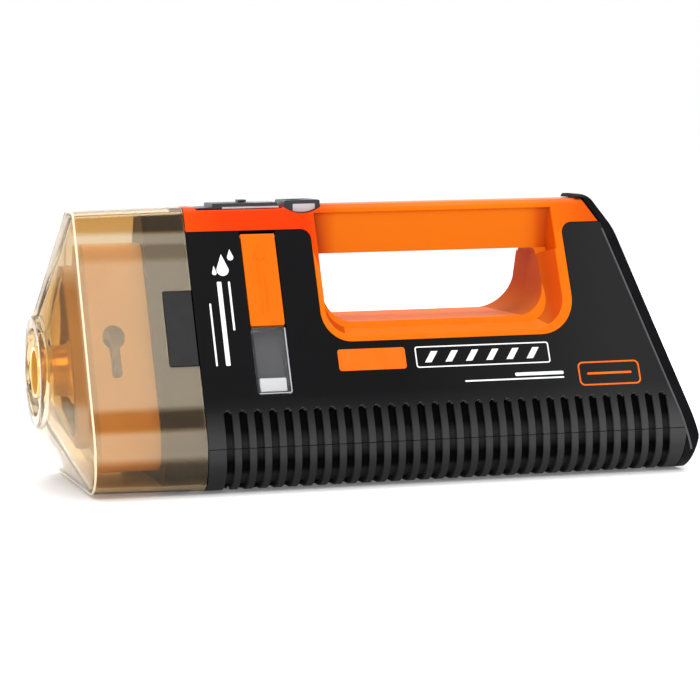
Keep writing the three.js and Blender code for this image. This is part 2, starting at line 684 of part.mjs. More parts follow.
function controls() {
  const side = [
    [-72.2, PANEL_Z, 0],
    [-34.6, PANEL_Z, 0],
    [-36.2, PANEL_TOP_Z, 0.4],
    [-65.4, PANEL_TOP_Z, 0.5],
    [-65.4, PANEL_Z + 1, 0],
    [-72.2, PANEL_Z + 0.7, 0],
  ];
  const plan = alongY(outline(side), -PANEL_HALF, PANEL_HALF);
  const slot = block(KNOB_X - KNOB_TRAVEL - 2, KNOB_X + 2, -1.6, 1.6, 119, 126);
  const glassBed = block(-46.9, -37.1, -6.8, 6.8, PANEL_TOP_Z - 0.8, 126);
  const glass = block(-46.6, -37.4, -6.5, 6.5, PANEL_TOP_Z - 0.6, PANEL_TOP_Z);
  const knob = join(
    block(-1.8, 1.8, -3, 3, PANEL_TOP_Z + 0.25, PANEL_TOP_Z + 1.2),
    block(-1.5, 1.5, -1.3, 1.3, PANEL_Z + 0.3, PANEL_TOP_Z + 0.4),
  );
  const crown = alongY(
    outline([
      [BUTTON_X[0], 117.8, 0],
      [BUTTON_X[1], 117.8, 0],
      [BUTTON_X[1], BUTTON_TOP_Z, 0.8],
      [BUTTON_X[0], BUTTON_TOP_Z, 0.8],
    ]),
    -BUTTON_HALF,
    BUTTON_HALF,
  );
  return [
    mesh("control_panel", cut(plan, slot, glassBed), glossBlack),
    mesh("display_glass", glass, glossBlack),
    place(mesh("slide_knob", knob, black), KNOB_X, 0, 0),
    mesh("fog_button", crown, black),
    mesh("button_board", block(-68, -14, -7.5, 7.5, 106.6, 108.2), boardGreen),
    mesh("button_switch", block(-31.6, -24, -3, 3, 108.5, 115), glossBlack),
    buttonSpring(),
  ];
}

function buttonSpring() {
  const [radius, wire, turns, height] = [2.4, 0.35, 5, 8.3];
  class Helix extends THREE.Curve {
    getPoint(t, target = new THREE.Vector3()) {
      const angle = t * turns * Math.PI * 2;
      return target.set(radius * Math.cos(angle), radius * Math.sin(angle), t * height);
    }
  }
  const round = new THREE.Shape().absarc(0, 0, wire, 0, Math.PI * 2);
  const coil = new THREE.ExtrudeGeometry(round, { steps: 60, extrudePath: new Helix(), curveSegments: 3 });
  return place(mesh("button_spring", solid(coil), steel), -20.4, 0, 108.9);
}

// ---------- power, pump and electronics ----------
const CELL = { radius: 9.1, long: 65, z: 18.4, pitch: 20 };

function battery() {
  const cells = [0, 67].flatMap((x0, row) =>
    [-1, 0, 1].map((k, i) => {
      const shape = barX(CELL.radius, 0, CELL.long, 0, 0, 20);
      return place(mesh(`battery_cell_${row * 3 + i + 1}`, shape, cellBlue), x0, k * CELL.pitch, CELL.z);
    }),
  );
  const ends = [block(-3, -0.5, -30, 30, 4.5, 24), block(65.3, 66.7, -30, 30, 4.5, 24), block(132.4, 134, -30, 30, 4.5, 24)];
  const holder = join(block(-3, 134, -30, 30, 4.2, 8.6), ...ends);
  return [...cells, mesh("battery_holder", holder, black)];
}

function electronics() {
  return [
    mesh("main_board", block(4, 112, -30, 30, 31, 32.6), boardGreen),
    mesh("power_module", block(70, 94, -14, 10, 32.9, 43), glossBlack),
    mesh("board_inductor", barZ(7, 50, -12, 32.9, 42), brass),
    mesh("board_capacitor", barZ(5, 34, 12, 32.9, 49), cellBlue),
    tube("heater_lead", [[3.4, -18, 31.8], [-8, -19, 31], [-30, -22, 30], [-52, -18, 29], [-66, -10, 34], [-69, -6, 42], [-74.2, -5, 47]], 1.4, 44, rubber),
  ];
}

function pump() {
  const at = { y: 20, z: 17 };
  return [
    mesh("pump_motor", barX(10, -27, -5, at.y, at.z, 24), steel),
    mesh("pump_head", barX(11.5, -37, -27.3, at.y, at.z, 24), glossBlack),
    tube("feed_hose", [[-46, 8, 36.4], [-46, 8, 30], [-45, 12, 22], [-43, 17, 18], [-38.2, 18, 17]], 2, 22, milky),
    tube("delivery_hose", [[-37.9, 24, 20], [-44, 24, 20], [-56, 20, 22], [-66, 10, 30], [-68, 2, 44], [-71, 0, 50], [-75.6, 0, 51]], 1.8, 34, milky),
  ];
}

// ---------- charging socket in the rear cover ----------
const CHARGE_Z = 70;
const CHARGE_HALF = 7.5;

function chargePort() {
  const frame = rearFrame(CHARGE_Z);
  const socket = cut(barZ(5.6, 0, 0, -13, -2.1), barZ(3.2, 0, 0, -10, 0, 16));
  frame.add(mesh("charge_socket", join(socket, barZ(0.9, 0, 0, -11, -4, 10)), steel));
  const hinge = CHARGE_HALF - 1;
  const leaf = extrude(outline(rectangle(-CHARGE_HALF, -CHARGE_HALF, CHARGE_HALF, hinge, 0.8)), 1.3, 2);
  const barrel = barX(0.75, -CHARGE_HALF, CHARGE_HALF, hinge, -0.65, 12);
  frame.add(mesh("charge_flap", join(solid(leaf.translate(0, 0, -1.35)), barrel), rubber));
  return frame;
}

// ---------- feet and screws ----------
const FOOT_RADIUS = 7;
const FEET = [
  [-56, -26],
  [-56, 26],
  [112, -26],
  [112, 26],
];

function feet() {
  return FEET.map(([x, y], i) => place(mesh(`foot_${i + 1}`, barZ(FOOT_RADIUS, 0, 0, 0, TRAY_Z + 0.9, 28), rubber), x, y, 0));
}

// A pan-head screw that stands on its head at z = 0.
function screw(name, long) {
  const head = cut(barZ(3.2, 0, 0, 0, 1.8, 16), block(-0.4, 0.4, -2.2, 2.2, -1, 0.7), block(-2.2, 2.2, -0.4, 0.4, -1, 0.7));
  return mesh(name, join(head, barZ(1.5, 0, 0, 1.2, long, 10)), steel);
}

function screws() {
  const tray = SCREW_XS.flatMap((x) => [-1, 1].map((s) => [x, s * SCREW_Y])).map(([x, y], i) =>
    place(screw(`tray_screw_${i + 1}`, 25), x, y, 1.1),
  );
  const rear = rearFrame(REAR_SCREW.z);
  [-1, 1].forEach((s, i) => {
    const one = screw(`rear_screw_${i + 1}`, 14);
    one.rotation.x = Math.PI;
    rear.add(place(one, s * REAR_SCREW.y, 0, 0.2));
  });
  return [...tray, rear];
}

// ---------- the machine ----------
const fogMachine = new THREE.Group();
fogMachine.add(
  leftShell(),
  rightShell(),
  baseTray(),
  rearCover(),
  handleHalf("handle_left", -1),
  handleHalf("handle_right", 1),
  frontCollar(),
  nozzleCap(),
  fogDuct(),
  outletTube(),
  ...heater(),
  oilTank(),
  filler(),
  levelGauge(),
  ...controls(),
  ...battery(),
  ...electronics(),
  ...pump(),
  chargePort(),
  ...feet(),
  ...screws(),
);

export default fogMachine;
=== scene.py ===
import math

import bmesh
import bpy
from mathutils import Matrix, Vector


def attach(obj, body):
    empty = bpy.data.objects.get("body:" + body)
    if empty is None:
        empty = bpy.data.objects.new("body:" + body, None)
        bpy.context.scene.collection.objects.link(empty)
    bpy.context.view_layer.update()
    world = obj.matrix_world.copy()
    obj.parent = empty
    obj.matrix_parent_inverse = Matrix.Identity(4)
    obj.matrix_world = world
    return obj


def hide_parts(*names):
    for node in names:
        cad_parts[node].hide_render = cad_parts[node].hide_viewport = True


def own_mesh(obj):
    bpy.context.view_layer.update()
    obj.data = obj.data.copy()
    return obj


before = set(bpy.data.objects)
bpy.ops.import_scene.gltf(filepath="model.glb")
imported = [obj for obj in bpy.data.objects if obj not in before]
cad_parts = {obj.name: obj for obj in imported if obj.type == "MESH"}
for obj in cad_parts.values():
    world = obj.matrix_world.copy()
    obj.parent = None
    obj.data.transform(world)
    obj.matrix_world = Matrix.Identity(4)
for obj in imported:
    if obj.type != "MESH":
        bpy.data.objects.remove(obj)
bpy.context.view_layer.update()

# Lengths below are in millimetres until a piece is finished, which turns them into metres.
MM = 0.001

# ---------- the body's driving dimensions, as in the CAD ----------
NOSE_X = -145.0
RIM_X = -128.0
COLLAR_X = -97.3
JOINT_X = -79.0
TRAY_Z = 0.8
SPLIT_Z = 20.0
BAND_Z = 111.0
TOP_Z = 121.5
BAND_HALF = 15.0
BODY_HALF = 54.0
DRAFT = 0.4467
WALL = 2.8
GAP = 0.3
SPLIT_HALF = 0.06  # half the seam between the orange halves
FAR = 200.0  # past the body on every side
REAR_X = 144.7
REAR_Z = 18.0
REAR_SLOPE = 0.2872
COVER_DEEP = 4.6
COVER_FOOT_X = 136.2
NOZZLE_Z = 51.0
DRAFT_ANGLE = math.atan(DRAFT)
REAR_ANGLE = math.atan(REAR_SLOPE)
KNEE_Z = BAND_Z - (BODY_HALF - BAND_HALF) / DRAFT

# The grooves are darker, as painted shade, with painted reflections in grey bands; their top ends get a painted
# highlight.
RIBBED = ("shell", "groove", "glint")  # looks of a ribbed wall: the wall, its grooves and their top ends
VENT_COUNT = 31
VENT_PITCH = 6.626
FIRST_VENT_X = -69.3
VENT_HALF = 1.72
VENT_DEEP = 2.5
VENT_TOP_Z = 36.0
VENT_INNER_Y = 34.0
RIBBED_THICK = 3.2
RIBBED_END_X = 141.0

CUT_FRONT_X, CUT_REAR_X, CUT_FLOOR_Z = -23.0, 94.2, 62.4
GRIP_HALF = 10.6
RECESS_FLOOR_HALF = 29.0
RECESS_TOP_Z = 118.0
FLARE_DEEP = 6.0
GRIP_FLOOR_Z = 99.8
POCKET_BACK_X = (-18.5, 88.3)
TUNNEL = [(-19.5, 70.5, 12), (83, 70.5, 15), (83, GRIP_FLOOR_Z, 2), (-19.5, GRIP_FLOOR_Z, 2)]
RIM_CORNERS = [(-20.5, 64.8, 11.5), (90.5, 64.8, 15), (90.5, RECESS_TOP_Z, 4), (-20.5, RECESS_TOP_Z, 4)]
FLARED_CORNERS = [(-19.5, 72.2, 12), (83, 72.2, 15), (83, RECESS_TOP_Z, 4), (-19.5, RECESS_TOP_Z, 4)]

SLOT_X, SLOT_HALF = -47.1, 8.1
WINDOW_Z = (41.6, 70.0)
FLAP_Z = (70.6, 110.3)
FLAP_HALF, FLAP_THICK, HINGE_BACK = 7.6, 2.6, 1.7
SCREWS = [(x, y) for x in (-66.0, 122.0) for y in (-38.0, 38.0)]
SCREW_HOLE, SCREW_HEAD, BOSS_RADIUS = 1.8, 3.6, 4.0
REAR_SCREW_Y, REAR_SCREW_Z = 32.0, 46.0
CHARGE_Z, CHARGE_HALF, SOCKET_RADIUS = 70.0, 7.5, 5.9
FEET = ((-56.0, -26.0), (-56.0, 26.0), (112.0, -26.0), (112.0, 26.0))
FOOT_RADIUS = 7.0
LEDGE_X, LEDGE_Z = (-73.2, -34.0), 120.2
PANEL_Z, PANEL_TOP_Z, PANEL_HALF = LEDGE_Z + GAP, 123.0, 8.6
BUTTON_X, BUTTON_HALF, BUTTON_TOP_Z = (-32.9, -16.6), 8.6, 123.7
SCOOP_X, SCOOP_Z, SCOOP_RADIUS = -25.0, 132.2, 14.3
BUTTON_LOW_Z, PRESS = 117.8, 2.2
KNOB_X, KNOB_TRAVEL = -50.6, 8.0
NOTCH_X, NOTCH_Z = -92.3, (54.6, 86.4)
COVER_LIP_X = 103.2


def half_at(z):
    return BAND_HALF + DRAFT * (BAND_Z - z)


def rear_at(z):
    return REAR_X - REAR_SLOPE * (z - REAR_Z)


def slope(rise):
    return rise / math.cos(DRAFT_ANGLE)


def placed(name, data):
    made = bpy.data.objects.new(name, data)
    bpy.context.scene.collection.objects.link(made)
    return made


# ---------- camera ----------
def add_camera():
    turn, rise, roll = math.radians(15.426), math.radians(5.228), math.radians(0.801)
    back = Vector((-math.sin(turn) * math.cos(rise), -math.cos(turn) * math.cos(rise), math.sin(rise)))
    right = Vector((math.cos(turn), -math.sin(turn), 0))
    up = back.cross(right)
    rolled_right = right * math.cos(roll) - up * math.sin(roll)
    rolled_up = right * math.sin(roll) + up * math.cos(roll)
    data = bpy.data.cameras.new("camera")
    data.lens, data.sensor_width = 140.14, 36
    data.clip_start, data.clip_end = 0.05, 60
    camera = placed("camera", data)
    turned = Matrix((rolled_right, rolled_up, back)).transposed().to_4x4()
    camera.matrix_world = Matrix.Translation((right * -1.197 + up * 55.086 + back * 1232) * MM) @ turned
    bpy.context.scene.camera = camera


add_camera()


# ---------- outlines ----------
def outline(corners, inset=0.0, step=6.0):
    """Points of a closed counter-clockwise outline of corners (x, y, radius), moved inwards by inset."""
    count = len(corners)

    def edge(i):
        a, b = Vector(corners[i % count][:2]), Vector(corners[(i + 1) % count][:2])
        along = (b - a).normalized()
        return a + Vector((-along.y, along.x)) * inset, along

    points = []
    for i in range(count):
        (start, before), (end, after) = edge(i - 1), edge(i)
        turn = before.cross(after)
        corner = start + before * ((end - start).cross(after) / turn)
        side = math.copysign(1, turn)
        radius = max(0, corners[i][2] - side * inset) if corners[i][2] else 0
        if radius < 0.05:
            points.append(corner)
            continue
        angle = math.atan2(turn, before.dot(after))
        tangent = corner - before * radius * math.tan(abs(angle) / 2)
        centre = tangent + Vector((-before.y, before.x)) * side * radius
        spoke = tangent - centre
        first = math.atan2(spoke.y, spoke.x)
        pieces = max(2, math.ceil(math.degrees(abs(angle)) / step))
        for k in range(pieces + 1):
            at = first + angle * k / pieces
            points.append(centre + Vector((math.cos(at), math.sin(at))) * radius)
    return points


def rectangle(x0, y0, x1, y1, radius=0.0):
    return [(x0, y0, radius), (x1, y0, radius), (x1, y1, radius), (x0, y1, radius)]


def circle(radius, x=0.0, y=0.0, sides=48):
    turns = [2 * math.pi * k / sides for k in range(sides)]
    return [Vector((x + radius * math.cos(t), y + radius * math.sin(t))) for t in turns]


# ---------- solids ----------
def solid(points, faces):
    mesh = bpy.data.meshes.new("solid")
    mesh.from_pydata([tuple(p) for p in points], [], faces)
    shape = bmesh.new()
    shape.from_mesh(mesh)
    bmesh.ops.recalc_face_normals(shape, faces=shape.faces)
    shape.to_mesh(mesh)
    shape.free()
    return placed("solid", mesh)


def prism(points, low, high, axis):
    """An outline given a depth: a section (y, z) along x, a side view (x, z) along y, a plan (x, y) along z."""
    turn = {
        "x": lambda p, d: (d, p[0], p[1]),
        "y": lambda p, d: (p[0], d, p[1]),
        "z": lambda p, d: (p[0], p[1], d),
    }[axis]
    n = len(points)
    corners = [turn(p, low) for p in points] + [turn(p, high) for p in points]
    walls = [(i, (i + 1) % n, n + (i + 1) % n, n + i) for i in range(n)]
    return solid(corners, [*walls, tuple(range(n)), tuple(range(2 * n - 1, n - 1, -1))])


def plate(x0, y0, x1, y1, radius, low, high):
    """A flat rectangle with rounded corners, thick from low to high."""
    return prism(outline(rectangle(x0, y0, x1, y1, radius)), low, high, "z")


def block(x0, x1, y0, y1, z0, z1):
    return prism([Vector(c) for c in ((x0, y0), (x1, y0), (x1, y1), (x0, y1))], z0, z1, "z")


def rings_solid(rings, closed=False):
    """Rings of equally many points, joined in turn. A closed one joins its last ring to its first."""
    n = len(rings[0])
    last = len(rings) if closed else len(rings) - 1
    faces = []
    for r in range(last):
        a, b = r * n, ((r + 1) % len(rings)) * n
        faces += [(a + i, a + (i + 1) % n, b + (i + 1) % n, b + i) for i in range(n)]
    if not closed:
        faces += [tuple(range(n)), tuple(range(len(rings) * n - 1, (len(rings) - 1) * n - 1, -1))]
    return solid([p for ring in rings for p in ring], faces)


def turned(profile, axis, sides=64):
    """A ring turned from a closed profile of (along, radius) about the outlet axis (x) or the z axis."""
    rings = []
    for along, radius in profile:
        ring = []
        for p in circle(radius, sides=sides):
            ring.append((along, p.x, NOZZLE_Z + p.y) if axis == "x" else (p.x, p.y, along))
        rings.append(ring)
    return rings_solid(rings, closed=True)


def combine(base, tools, operation):
    for tool in tools:
        change = base.modifiers.new("combine", "BOOLEAN")
        change.operation = operation
        change.solver = "MANIFOLD"
        change.object = tool
        graph = bpy.context.evaluated_depsgraph_get()
        result = bpy.data.meshes.new_from_object(base.evaluated_get(graph))
        base.modifiers.clear()
        base.data = result
        bpy.data.objects.remove(tool)
    return base


def cut(base, *tools):
    return combine(base, tools, "DIFFERENCE")


def join(base, *tools):
    return combine(base, tools, "UNION")


def common(base, *tools):
    return combine(base, tools, "INTERSECT")


def moved(piece, matrix):
    piece.data.transform(matrix)
    if matrix.determinant() < 0:
        piece.data.flip_normals()
    return piece


def shifted(piece, x, y, z):
    return moved(piece, Matrix.Translation((x, y, z)))


def mirrored(piece):
    return moved(piece, Matrix.Scale(-1, 4, (0, 1, 0)))


def copied(piece):
    twin = piece.copy()
    twin.data = piece.data.copy()
    bpy.context.scene.collection.objects.link(twin)
    return twin


def side_frame(x, z):
    turn = Matrix.Rotation(math.pi / 2 - DRAFT_ANGLE, 4, "X")
    return Matrix.Translation((x, -half_at(z), z)) @ turn


def rear_frame(z):
    up = Vector((-math.sin(REAR_ANGLE), 0, math.cos(REAR_ANGLE)))
    out = Vector((math.cos(REAR_ANGLE), 0, math.sin(REAR_ANGLE)))
    turn = Matrix((Vector((0, 1, 0)), up, out)).transposed().to_4x4()
    return Matrix.Translation((rear_at(z), 0, z)) @ turn


def marked(piece, kinds, mark):
    """Readies a solid for several kinds of look and gives each face the kind that mark(face) names."""
    piece.data.materials.clear()
    for _ in kinds:
        piece.data.materials.append(None)
    for face in piece.data.polygons:
        face.material_index = kinds.index(mark(face))
    return piece


def rounded(piece, width, segments, angle):
    rounding = piece.modifiers.new("rounding", "BEVEL")
    rounding.width = width * MM
    rounding.segments = segments
    rounding.limit_method = "ANGLE"
    rounding.angle_limit = math.radians(angle)
    rounding.harden_normals = True


def finish(piece, name, looks, body, replaces=(), bevel=0.0, segments=3, smooth=32, flat=False):
    """Names a finished solid, turns it into metres, rounds its edges and hangs it on its body.

    looks is one kind of look, or all the kinds of a marked solid.
    """
    piece.name = name
    piece.data.name = name
    piece.data.transform(Matrix.Scale(MM, 4))
    several = not isinstance(looks, str)
    marks = [face.material_index if several else 0 for face in piece.data.polygons]
    piece.data.materials.clear()
    for kind in looks if several else [looks]:
        piece.data.materials.append(LOOKS[kind])
    piece.data.polygons.foreach_set("material_index", marks)
    piece.data.shade_smooth()
    piece.data.set_sharp_from_angle(angle=math.radians(smooth))
    if bevel:
        rounded(piece, bevel, segments, 38)
    if flat:
        evened = piece.modifiers.new("evened", "WEIGHTED_NORMAL")
        evened.keep_sharp = True
        evened.weight = 100
    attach(piece, body)
    if replaces:
        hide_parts(*replaces)


# ---------- materials ----------
def look(name, dark, light, rough, grain=900.0, bump=0.1, metal=0.0, coat=0.0, through=0.0, ior=1.46, glow=0.0):
    """A moulded or machined surface: mottled colour, uneven sheen and fine grain."""
    material = bpy.data.materials.new(name)
    material.use_nodes = True
    nodes, links = material.node_tree.nodes, material.node_tree.links
    shader = nodes["Principled BSDF"]
    shader.inputs["Metallic"].default_value = metal
    shader.inputs["IOR"].default_value = ior
    shader.inputs["Transmission Weight"].default_value = through
    shader.inputs["Coat Weight"].default_value = coat
    shader.inputs["Coat Roughness"].default_value = 0.12
    shader.inputs["Emission Color"].default_value = (1, 1, 1, 1)
    shader.inputs["Emission Strength"].default_value = glow
    place = nodes.new("ShaderNodeTexCoord")

    def noise(scale, detail):
        made = nodes.new("ShaderNodeTexNoise")
        made.inputs["Scale"].default_value = scale
        made.inputs["Detail"].default_value = detail
        links.new(place.outputs["Object"], made.inputs["Vector"])
        return made.outputs["Fac"]

    ramp = nodes.new("ShaderNodeValToRGB")
    ramp.color_ramp.elements[0].position = 0.3
    ramp.color_ramp.elements[1].position = 0.7
    ramp.color_ramp.elements[0].color = (*dark, 1)
    ramp.color_ramp.elements[1].color = (*light, 1)
    links.new(noise(grain * 0.08, 4), ramp.inputs["Fac"])
    links.new(ramp.outputs["Color"], shader.inputs["Base Color"])
    sheen = nodes.new("ShaderNodeMapRange")
    sheen.inputs["To Min"].default_value = rough[0]
    sheen.inputs["To Max"].default_value = rough[1]
    links.new(noise(grain * 0.12, 6), sheen.inputs["Value"])
    links.new(sheen.outputs["Result"], shader.inputs["Roughness"])
    relief = nodes.new("ShaderNodeBump")
    relief.inputs["Strength"].default_value = bump
    relief.inputs["Distance"].default_value = 0.0002
    links.new(noise(grain, 3), relief.inputs["Height"])
    links.new(relief.outputs["Normal"], shader.inputs["Normal"])
    return material


def greys(*stops):
    return [(at, (value,) * 3) for at, value in stops]


# Colours of the graded looks, each as (mm along its axis, colour); they paint light, shade and reflections into the
# colour.
NEAR_BLACK = (0.003, 0.003, 0.0035)
# Painted light: the one orange plastic of the band turns redder and more orange along its length, standing in for how
# the light falls on it.
BAND_PAINTED_LIGHT_TONES = (
    (-79, (0.68, 0.06, 0.001)), (-62, (0.68, 0.036, 0.0004)), (-24, (0.68, 0.034, 0.0004)),
    (-8, (0.68, 0.13, 0.001)), (40, (0.7, 0.165, 0.002)), (78, (0.68, 0.165, 0.0015)),
    (97, (0.66, 0.115, 0.001)), (112, (0.56, 0.075, 0.0008)),
)
# Painted reflection: the black shell is lighter in a band at mid height, where a softbox's reflection falls on the
# ribs.
SHELL_PAINTED_SHEEN_TONES = [
    *greys((0, 0.016), (9, 0.02), (12, 0.022), (16, 0.038)), (21, (0.046, 0.046, 0.047)),
    *greys((25, 0.04), (30, 0.024), (36, 0.008)), (41, NEAR_BLACK), (111, NEAR_BLACK),
]
# Painted light: grey added to the shell's colour, more towards the rear, as the light falls there.
SIDE_PAINTED_LIGHT_TONES = greys((10, 0), (70, 0.005), (110, 0.012))
# Painted reflection and shade in the grooves: grey where light is reflected in them, near black between.
GROOVE_PAINTED_REFLECTION_TONES = greys(
    (0, 0.026), (8, 0.022), (10, 0.003), (14, 0.002), (18, 0.024), (22, 0.026), (27, 0.003), (45, 0.001)
)
# Painted shade: the grip bar's orange darkens to red at both ends, where the pocket shades it.
BAR_PAINTED_END_SHADE_TONES = (
    (-19, (0.34, 0.026, 0.001)), (-15, (0.52, 0.07, 0.001)), (-10, (0.66, 0.132, 0.002)),
    (78, (0.68, 0.138, 0.002)), (82, (0.64, 0.115, 0.0015)), (85.5, (0.48, 0.054, 0.001)),
    (89, (0.36, 0.034, 0.001)),
)
# Painted shade: the opening's end walls darker and browner, deeper in the recess.
PAINTED_SHADE_TONES = (
    (-21, (0.54, 0.056, 0.001)), (-14, (0.44, 0.056, 0.002)), (-6, (0.46, 0.1, 0.01)),
    (68, (0.46, 0.11, 0.012)), (80, (0.45, 0.085, 0.006)), (85, (0.43, 0.046, 0.002)),
    (91, (0.56, 0.056, 0.001)),
)


def reach(material, axis, low, high):
    """How far a place in the material lies from low to high, in mm along one axis, from 0 to 1."""
    nodes, links = material.node_tree.nodes, material.node_tree.links
    place = nodes.new("ShaderNodeTexCoord")
    split = nodes.new("ShaderNodeSeparateXYZ")
    links.new(place.outputs["Object"], split.inputs["Vector"])
    share = nodes.new("ShaderNodeMapRange")
    share.inputs["From Min"].default_value = low * MM
    share.inputs["From Max"].default_value = high * MM
    links.new(split.outputs[axis], share.inputs["Value"])
    return share.outputs["Result"]


def tone_at(material, axis, stops):
    """The colour of a place in the material, from stops of (mm, colour) along one axis."""
    nodes, links = material.node_tree.nodes, material.node_tree.links
    low, high = stops[0][0], stops[-1][0]
    ramp = nodes.new("ShaderNodeValToRGB")
    elements = ramp.color_ramp.elements
    while len(elements) < len(stops):
        elements.new(0.5)
    for element, (at, colour) in zip(elements, stops):
        element.position = (at - low) / (high - low)
        element.color = (*colour, 1)
    links.new(reach(material, axis, low, high), ramp.inputs["Fac"])
    return ramp.outputs["Color"]


def graded(material, axis, stops, mode="MIX", share=0.85):
    """Grades the mottled colour of a look along one axis."""
    links = material.node_tree.links
    shader = material.node_tree.nodes["Principled BSDF"]
    mottled = shader.inputs["Base Color"].links[0].from_socket
    blend = material.node_tree.nodes.new("ShaderNodeMix")
    blend.data_type = "RGBA"
    blend.blend_type = mode
    blend.inputs["Factor"].default_value = share
    links.new(mottled, blend.inputs["A"])
    links.new(tone_at(material, axis, stops), blend.inputs["B"])
    links.new(blend.outputs["Result"], shader.inputs["Base Color"])


# Heights in mm and how strongly painted reflection bands veil the clear cap there, along its straight part and on its
# cone.
STRAIGHT_PAINTED_REFLECTION = greys(
    (0, 0.0), (14.5, 0.0), (18, 0.95), (27.5, 0.95), (30, 0.02), (36, 0.02), (39, 1.0), (98, 1.0), (101, 0.55),
    (105.5, 0.55), (107, 1.0), (110, 1.0), (112, 0.0), (118.3, 0.0), (121.5, 1.0),
)
CONE_PAINTED_REFLECTION = greys((0, 1.0), (37, 1.0), (42, 0.3), (88, 0.15), (97, 0.8), (121.5, 1.0))


def amber_look(name, clear, veiled):
    """Clear amber plastic veiled in level bands of painted reflection, with others on the cone than on the straight
    part.
    """
    material = look(name, clear, veiled, (0.05, 0.1), 300, 0.015, ior=1.3)
    nodes, links = material.node_tree.nodes, material.node_tree.links
    shader = nodes["Principled BSDF"]
    reflection_veil = nodes.new("ShaderNodeMix")
    reflection_veil.data_type = "RGBA"
    links.new(reach(material, "X", RIM_X - 1.0, RIM_X + 0.5), reflection_veil.inputs["Factor"])
    links.new(tone_at(material, "Z", CONE_PAINTED_REFLECTION), reflection_veil.inputs["A"])
    links.new(tone_at(material, "Z", STRAIGHT_PAINTED_REFLECTION), reflection_veil.inputs["B"])
    tint = nodes.new("ShaderNodeMix")
    tint.data_type = "RGBA"
    tint.inputs["A"].default_value = (*clear, 1)
    tint.inputs["B"].default_value = (*veiled, 1)
    links.new(reflection_veil.outputs["Result"], tint.inputs["Factor"])
    links.new(tint.outputs["Result"], shader.inputs["Base Color"])
    # Where the painted reflection veils the cap, less light passes through.
    through = nodes.new("ShaderNodeMapRange")
    through.inputs["To Min"].default_value = 0.995
    through.inputs["To Max"].default_value = 0.855
    links.new(reflection_veil.outputs["Result"], through.inputs["Value"])
    links.new(through.outputs["Result"], shader.inputs["Transmission Weight"])
    return material


